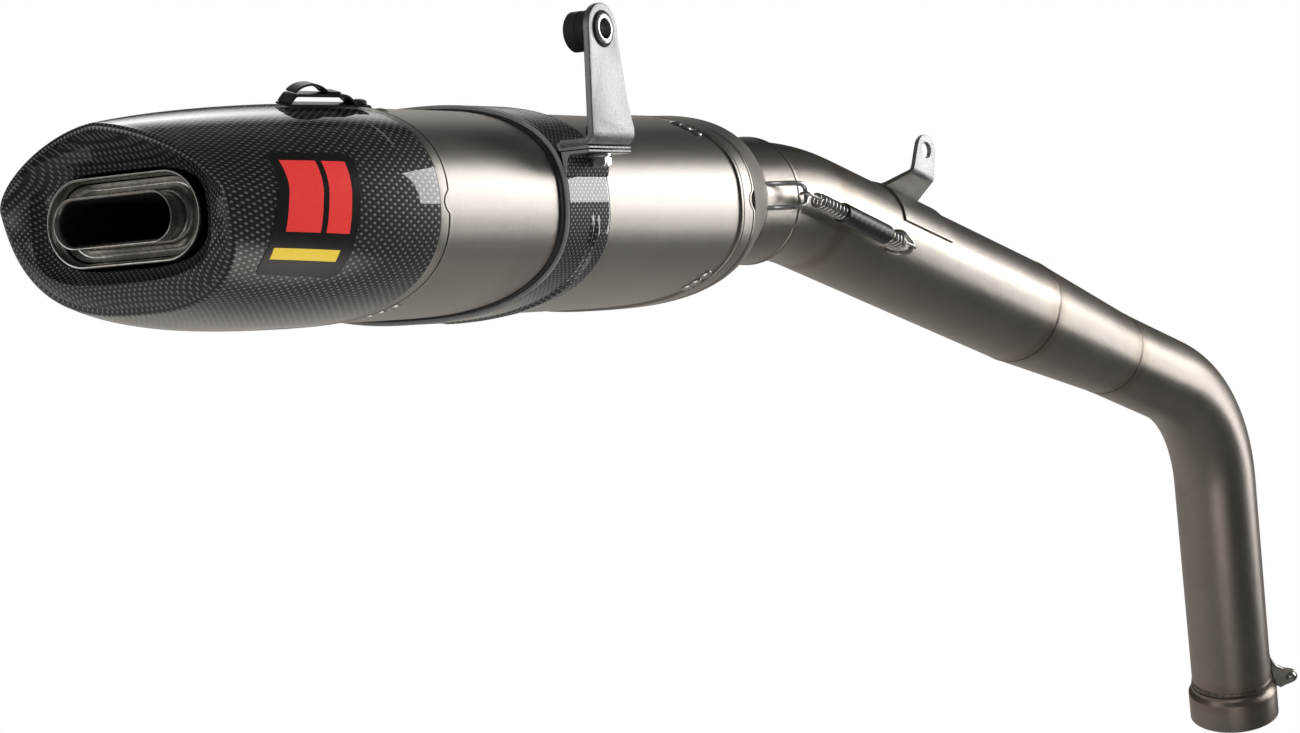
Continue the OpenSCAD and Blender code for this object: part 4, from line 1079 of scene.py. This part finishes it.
grommet = Part()
eye = MUFFLER + Vector((EYE_X, ARM_Y + 3, EYE_Z))
inward_dir = Vector((0, 1, 0))
revolve(grommet, [(0.05, 7.5), (0.05, 8.2), (0.6, 8.6), (4.4, 8.6), (5.0, 8.0), (6.0, 8.0), (6.6, 8.6),
                  (11.3, 8.6), (12.0, 7.9), (12.0, 5.5), (-3.05, 5.5), (-3.05, 7.0), (-2.6, 7.5)],
        eye, inward_dir, 64)
grommet.build("eye_grommet", [RUBBER], "muffler", ("hanger_grommet",), angle=40)
bush = Part()
revolve(bush, [(-4.3, 4.5), (-4.3, 6.1), (-3.9, 6.6), (-3.3, 6.6), (-3.1, 6.4), (-3.1, 5.4),
               (12.2, 5.4), (12.5, 5.1), (12.5, 4.5), (12.2, 4.2), (-4.0, 4.2)],
        eye, inward_dir, 64)
bush.build("eye_bush", [BRIGHT], "muffler", ("hanger_bush",), angle=40)


def hex_prism(part, at, r, z0, z1):
    """Hexagon along Z with turned corners."""
    rows = []
    for z, chamfer in ((z0, 0.86), (z0 + 0.5, 1.0), (z1 - 0.5, 1.0), (z1, 0.86)):
        row = []
        for k in range(48):
            a = 2 * math.pi * k / 48
            flat = r * math.cos(math.pi / 6) / math.cos((a % (math.pi / 3)) - math.pi / 6)
            reach = min(flat, r * chamfer / 0.99)
            row.append(at + Vector((reach * math.cos(a), reach * math.sin(a), z)))
        rows.append(row)
    part.capped(rows)


head_top = EAR_TOP - 3 - 1.5
screw_at = MUFFLER + Vector((BOLT_X, BOLT_Y, 0))
bolt = Part()
hex_prism(bolt, screw_at, 5.0, head_top - 4, head_top)
thread = [(head_top, 0.05), (head_top, 3.0)]
for k in range(40):
    z = head_top + 0.5 + k * 0.28
    thread.append((z, 2.98 if k % 2 else 2.7))
thread += [(EAR_TOP + 12.0, 2.4), (EAR_TOP + 12.0, 0.05)]
revolve(bolt, thread, screw_at, UP, 40, loop=False)
bolt.build("clamp_screw", [BRIGHT], "muffler", ("clamp_bolt",), angle=30)
rings = Part()
for z in (EAR_TOP - 3 - 1.45, EAR_TOP + 3.1):
    washer = [(z, 3.1), (z, 4.8), (z + 0.2, 5.0), (z + 1.2, 5.0), (z + 1.4, 4.8), (z + 1.4, 3.1)]
    revolve(rings, washer, screw_at, UP, 48)
rings.build("clamp_rings", [BRIGHT], "muffler", ("clamp_washers",), angle=30)
nut = Part()
hex_prism(nut, screw_at, 5.0, EAR_TOP + 4.6, EAR_TOP + 9.4)
nut.build("clamp_hexnut", [BRIGHT], "muffler", ("clamp_nut",), angle=30)


# ---------------------------------------------------------------- small bracket on the end cap
def cap_frame():
    x = -20.0
    y = -41.0
    fall_x = cap_height(x - 1, y) - cap_height(x + 1, y)
    fall_y = cap_height(x, y - 1) - cap_height(x, y + 1)
    up = Vector((fall_x, fall_y, 2)).normalized()
    turn = math.radians(22)
    along = Vector((math.cos(turn), -math.sin(turn), 0))
    along = (along - up * up.dot(along)).normalized()
    return MUFFLER + Vector((x, y, cap_height(x, y) + 0.6)), along, up.cross(along), up


cap_at, cap_x, cap_y, cap_up = cap_frame()


def on_cap(x, y, z):
    return cap_at + cap_x * x + cap_y * y + cap_up * z


def strip(part, path, half, thickness, edge=0.25):
    """A bent strip: path is (x, z) along its middle, and half its half-width."""
    deep = thickness / 2
    lower = [(-half, -deep + edge), (-half + edge, -deep), (half - edge, -deep), (half, -deep + edge)]
    section = lower + [(y, -c) for y, c in lower[::-1]]
    rows = []
    for i, (x, z) in enumerate(path):
        a = path[max(0, i - 1)]
        b = path[min(len(path) - 1, i + 1)]
        d = Vector((b[0] - a[0], b[1] - a[1])).normalized()
        rows.append([on_cap(x - d[1] * c, y, z + d[0] * c) for y, c in section])
    part.capped(rows)


def corner_path(points, radius=1.4, steps=5):
    out = [points[0]]
    for i in range(1, len(points) - 1):
        p = Vector(points[i])
        a = (Vector(points[i - 1]) - p)
        b = (Vector(points[i + 1]) - p)
        cut = min(radius, a.length / 2, b.length / 2)
        start = p + a.normalized() * cut
        end = p + b.normalized() * cut
        for k in range(steps + 1):
            t = k / steps
            q = start * (1 - t) ** 2 + p * 2 * t * (1 - t) + end * t * t
            out.append((q.x, q.y))
    out.append(points[-1])
    return out


guard = Part()
strip(guard, corner_path([(-15.4, 0.9), (-13.0, 4.4), (10.6, 4.4), (15.0, 1.0)]), 5.0, 1.2)
strip(guard, [(-16.5, 0.4), (0, 0.4), (21.4, 0.4)], 5.0, 0.8)
guard.build("guard_bridge", [PAINT], "muffler", ("shield_bracket",), angle=35)
leaf = Part()
BOW_R = 10.5
bow = [(-5.3 + BOW_R * math.cos(a), -1.9 + BOW_R * math.sin(a)) for a in np.radians(np.linspace(135, 46, 22))]
strip(leaf, corner_path(bow + [(3.0, 5.55), (7.6, 5.5)], 0.8), 4.0, 0.9)
leaf.build("guard_leaf", [PAINT], "muffler", ("shield_clip",), angle=35)
tips = Part()
revolve(tips, [(-0.4, 0.05), (-0.4, 1.6), (0.95, 1.6), (0.95, 2.9), (1.3, 3.0), (2.0, 2.7), (2.5, 2.1),
               (2.55, 1.2), (1.9, 1.0), (1.9, 0.05)], on_cap(18.9, 0, 0), cap_up, 32, loop=False)
tips.build("guard_screws", [PAINT], "muffler", ("shield_screws",), angle=35)

# ---------------------------------------------------------------- plain patch on the cap
patch = Part()
cols = 24
lines = 36


def patch_point(u, v, lift):
    z = mix(mix(-25, -28, u), mix(21, 19.4, u), v)
    x = mix(mix(-88, -75, v), mix(-50, -42, v), u)
    t = -x / (END_CAP_L - 3)
    return tuple(MUFFLER + Vector((x - z * math.tan(math.radians(RIM_RAKE * t * t)), -cap_side(t, z, lift), z)))


def rounded_corner(u, v, r=0.08):
    """Pulls the grid in at the corners so that they are round."""
    cu = min(max(u, r), 1 - r)
    cv = min(max(v, r * 0.9), 1 - r * 0.9)
    du = (u - cu) / r
    dv = (v - cv) / (r * 0.9)
    length = math.hypot(du, dv)
    if length > 1e-6 and du and dv:
        k = max(abs(du), abs(dv)) / length
        return cu + du * k * r, cv + dv * k * r * 0.9
    return u, v


rims = []
for lift, flip in ((0.38, False), (0.1, True)):
    rows = []
    uv = []
    for j in range(lines + 1):
        pairs = [rounded_corner(i / cols, j / lines) for i in range(cols + 1)]
        rows.append([patch_point(u, v, lift) for u, v in pairs])
        uv.append(pairs)
    patch.grid(rows, wrap=False, uv=uv, flip=flip)
    rim = [rows[0][i] for i in range(cols)] + [rows[j][cols] for j in range(lines)]
    rim += [rows[lines][cols - i] for i in range(cols)] + [rows[lines - j][0] for j in range(lines)]
    rims.append(rim)
patch.grid(rims, uv=[[(0.01, 0.01)] * (len(rims[0]) + 1)] * 2)
patch.build("plain_badge", [PATCH], "muffler", ("badge_patch",), angle=40)

# ---------------------------------------------------------------- CAD pieces that keep their own mesh
for name in ("core_tube", "packing_wool", "front_baffle", "rear_baffle", "outlet_baffle", "insert_clip"):
    piece = nodes[name]
    piece.data.materials.clear()
    piece.data.materials.append(WOOL if name == "packing_wool" else SOOTY)
    piece.data.polygons.foreach_set("use_smooth", [True] * len(piece.data.polygons))
    piece.data.set_sharp_from_angle(angle=math.radians(30))

# ---------------------------------------------------------------- studio
WHITE = (1, 1, 1, 1)
FLOOR_Z = -0.3

def choose_by_ray(tree, output, seen, mirrored):
    """One shader for the camera and for matt surfaces, and another for reflections."""
    ray = add_node(tree, "ShaderNodeLightPath").outputs["Is Glossy Ray"]
    mixed = add_node(tree, "ShaderNodeMixShader", {0: ray, 1: seen, 2: mirrored}).outputs[0]
    add_node(tree, output, {0: mixed})

def sheet(name, width, height, z, material):
    """A flat rectangle, with its UV from 0 to 1."""
    x = width / 2
    y = height / 2
    mesh = bpy.data.meshes.new(name)
    mesh.from_pydata([(-x, -y, z), (x, -y, z), (x, y, z), (-x, y, z)], [], [(0, 1, 2, 3)])
    mesh.uv_layers.new(name="UVMap").data.foreach_set("uv", [0, 0, 1, 0, 1, 1, 0, 1])
    mesh.materials.append(material)
    return mesh

def stand(name, data, at, target):
    """Places a light or a panel so that it faces its target."""
    holder = bpy.data.objects.new(name, data)
    holder.location = at
    holder.rotation_euler = (Vector(target) - Vector(at)).to_track_quat("-Z", "Y").to_euler()
    scene.collection.objects.link(holder)
    return holder

# The floor looks white. It reflects as a dark floor with one bright pool, and brightens towards the far side.
ground = bpy.data.materials.new("pale_floor")
tree = blank(ground)
spot = add_node(tree, "ShaderNodeTexCoord").outputs["Object"]
split = add_node(tree, "ShaderNodeSeparateXYZ", {0: spot}).outputs
far = smooth_range(tree, split[1], -0.7, 0.9, 0.04, 0.38)
away = add_node(tree, "ShaderNodeVectorMath", {0: spot, 1: (-0.82, -0.40, FLOOR_Z)}, operation="DISTANCE")
pool = smooth_range(tree, away.outputs["Value"], 0.0, 0.5, 2.2, 0.0)
both = add_node(tree, "ShaderNodeMath", {0: far, 1: pool}, operation="ADD").outputs[0]
seen = add_node(tree, "ShaderNodeEmission", {0: WHITE, 1: 1.0}).outputs[0]
mirrored = add_node(tree, "ShaderNodeEmission", {0: (1.0, 0.93, 0.86, 1), 1: both}).outputs[0]
choose_by_ray(tree, "ShaderNodeOutputMaterial", seen, mirrored)
floor = bpy.data.objects.new("floor", sheet("floor", 18, 18, FLOOR_Z, ground))
scene.collection.objects.link(floor)

world = bpy.data.worlds.new("studio")
scene.world = world
tree = blank(world)
bright = add_node(tree, "ShaderNodeBackground", {0: WHITE, 1: 1.0}).outputs[0]
dim = add_node(tree, "ShaderNodeBackground", {0: (1.0, 0.96, 0.92, 1), 1: 0.07}).outputs[0]
choose_by_ray(tree, "ShaderNodeOutputWorld", bright, dim)
scene.view_settings.view_transform = "Standard"

def softbox(name, at, target, width, height, power):
    light = bpy.data.lights.new(name, "AREA")
    light.shape = "RECTANGLE"
    light.size = width
    light.size_y = height
    light.energy = power
    light.color = (1.0, 0.99, 0.975)
    light.spread = math.pi
    holder = stand(name, light, at, target)

def glow(name, at, target, width, height, strength):
    """A soft-edged light panel that only reflections see."""
    look = bpy.data.materials.new(name)
    tree = blank(look)
    spot = add_node(tree, "ShaderNodeTexCoord").outputs["UV"]
    centred = add_node(tree, "ShaderNodeMapping", {0: spot, "Location": (-1, -1, 0), "Scale": (2, 2, 0)}).outputs[0]
    fade = add_node(tree, "ShaderNodeTexGradient", {0: centred}, gradient_type="QUADRATIC_SPHERE").outputs[0]
    power = add_node(tree, "ShaderNodeMath", {0: fade, 1: strength}, operation="MULTIPLY").outputs[0]
    lamp = add_node(tree, "ShaderNodeEmission", {0: (1.0, 0.98, 0.95, 1.0), 1: power}).outputs[0]
    add_node(tree, "ShaderNodeOutputMaterial", {0: lamp})
    panel = stand(name, sheet(name, width, height, 0, look), at, target)
    panel.visible_camera = False
    panel.visible_diffuse = False
    panel.visible_shadow = False

softbox("key", (0.45, -0.92, 0.70), (-0.75, -0.06, 0.34), 0.66, 0.64, 8.2)
softbox("pipe_key", (0.75, -0.75, 0.25), (-0.3, 0.0, 0.25), 0.35, 0.8, 4.5)
glow("far_top", (0.15, 0.95, 1.25), (-0.85, 0.0, 0.35), 1.9, 1.1, 3.5)
glow("left_back", (-2.3, 0.9, 0.8), (-0.95, 0.0, 0.33), 1.8, 1.8, 3.2)
glow("left_low", (-2.2, 0.1, -0.05), (-0.95, 0.0, 0.33), 1.2, 1.0, 1.6)

# ---------------------------------------------------------------- camera
camera_data = bpy.data.cameras.new("camera")
camera_data.sensor_width = 36
camera_data.lens = 87.71
camera_data.clip_start = 0.01
camera_data.clip_end = 100
camera = bpy.data.objects.new("camera", camera_data)
scene.collection.objects.link(camera)
right = Vector((0.53604, -0.84126, -0.07028))
up = Vector((0.04688, -0.05345, 0.99747))
ahead = Vector((0.84289, 0.53798, -0.01079))
place = Matrix((
    (right.x, up.x, -ahead.x, -1.9324),
    (right.y, up.y, -ahead.y, -0.8016),
    (right.z, up.z, -ahead.z, 0.2741),
    (0, 0, 0, 1),
))
camera.matrix_world = place
scene.camera = camera
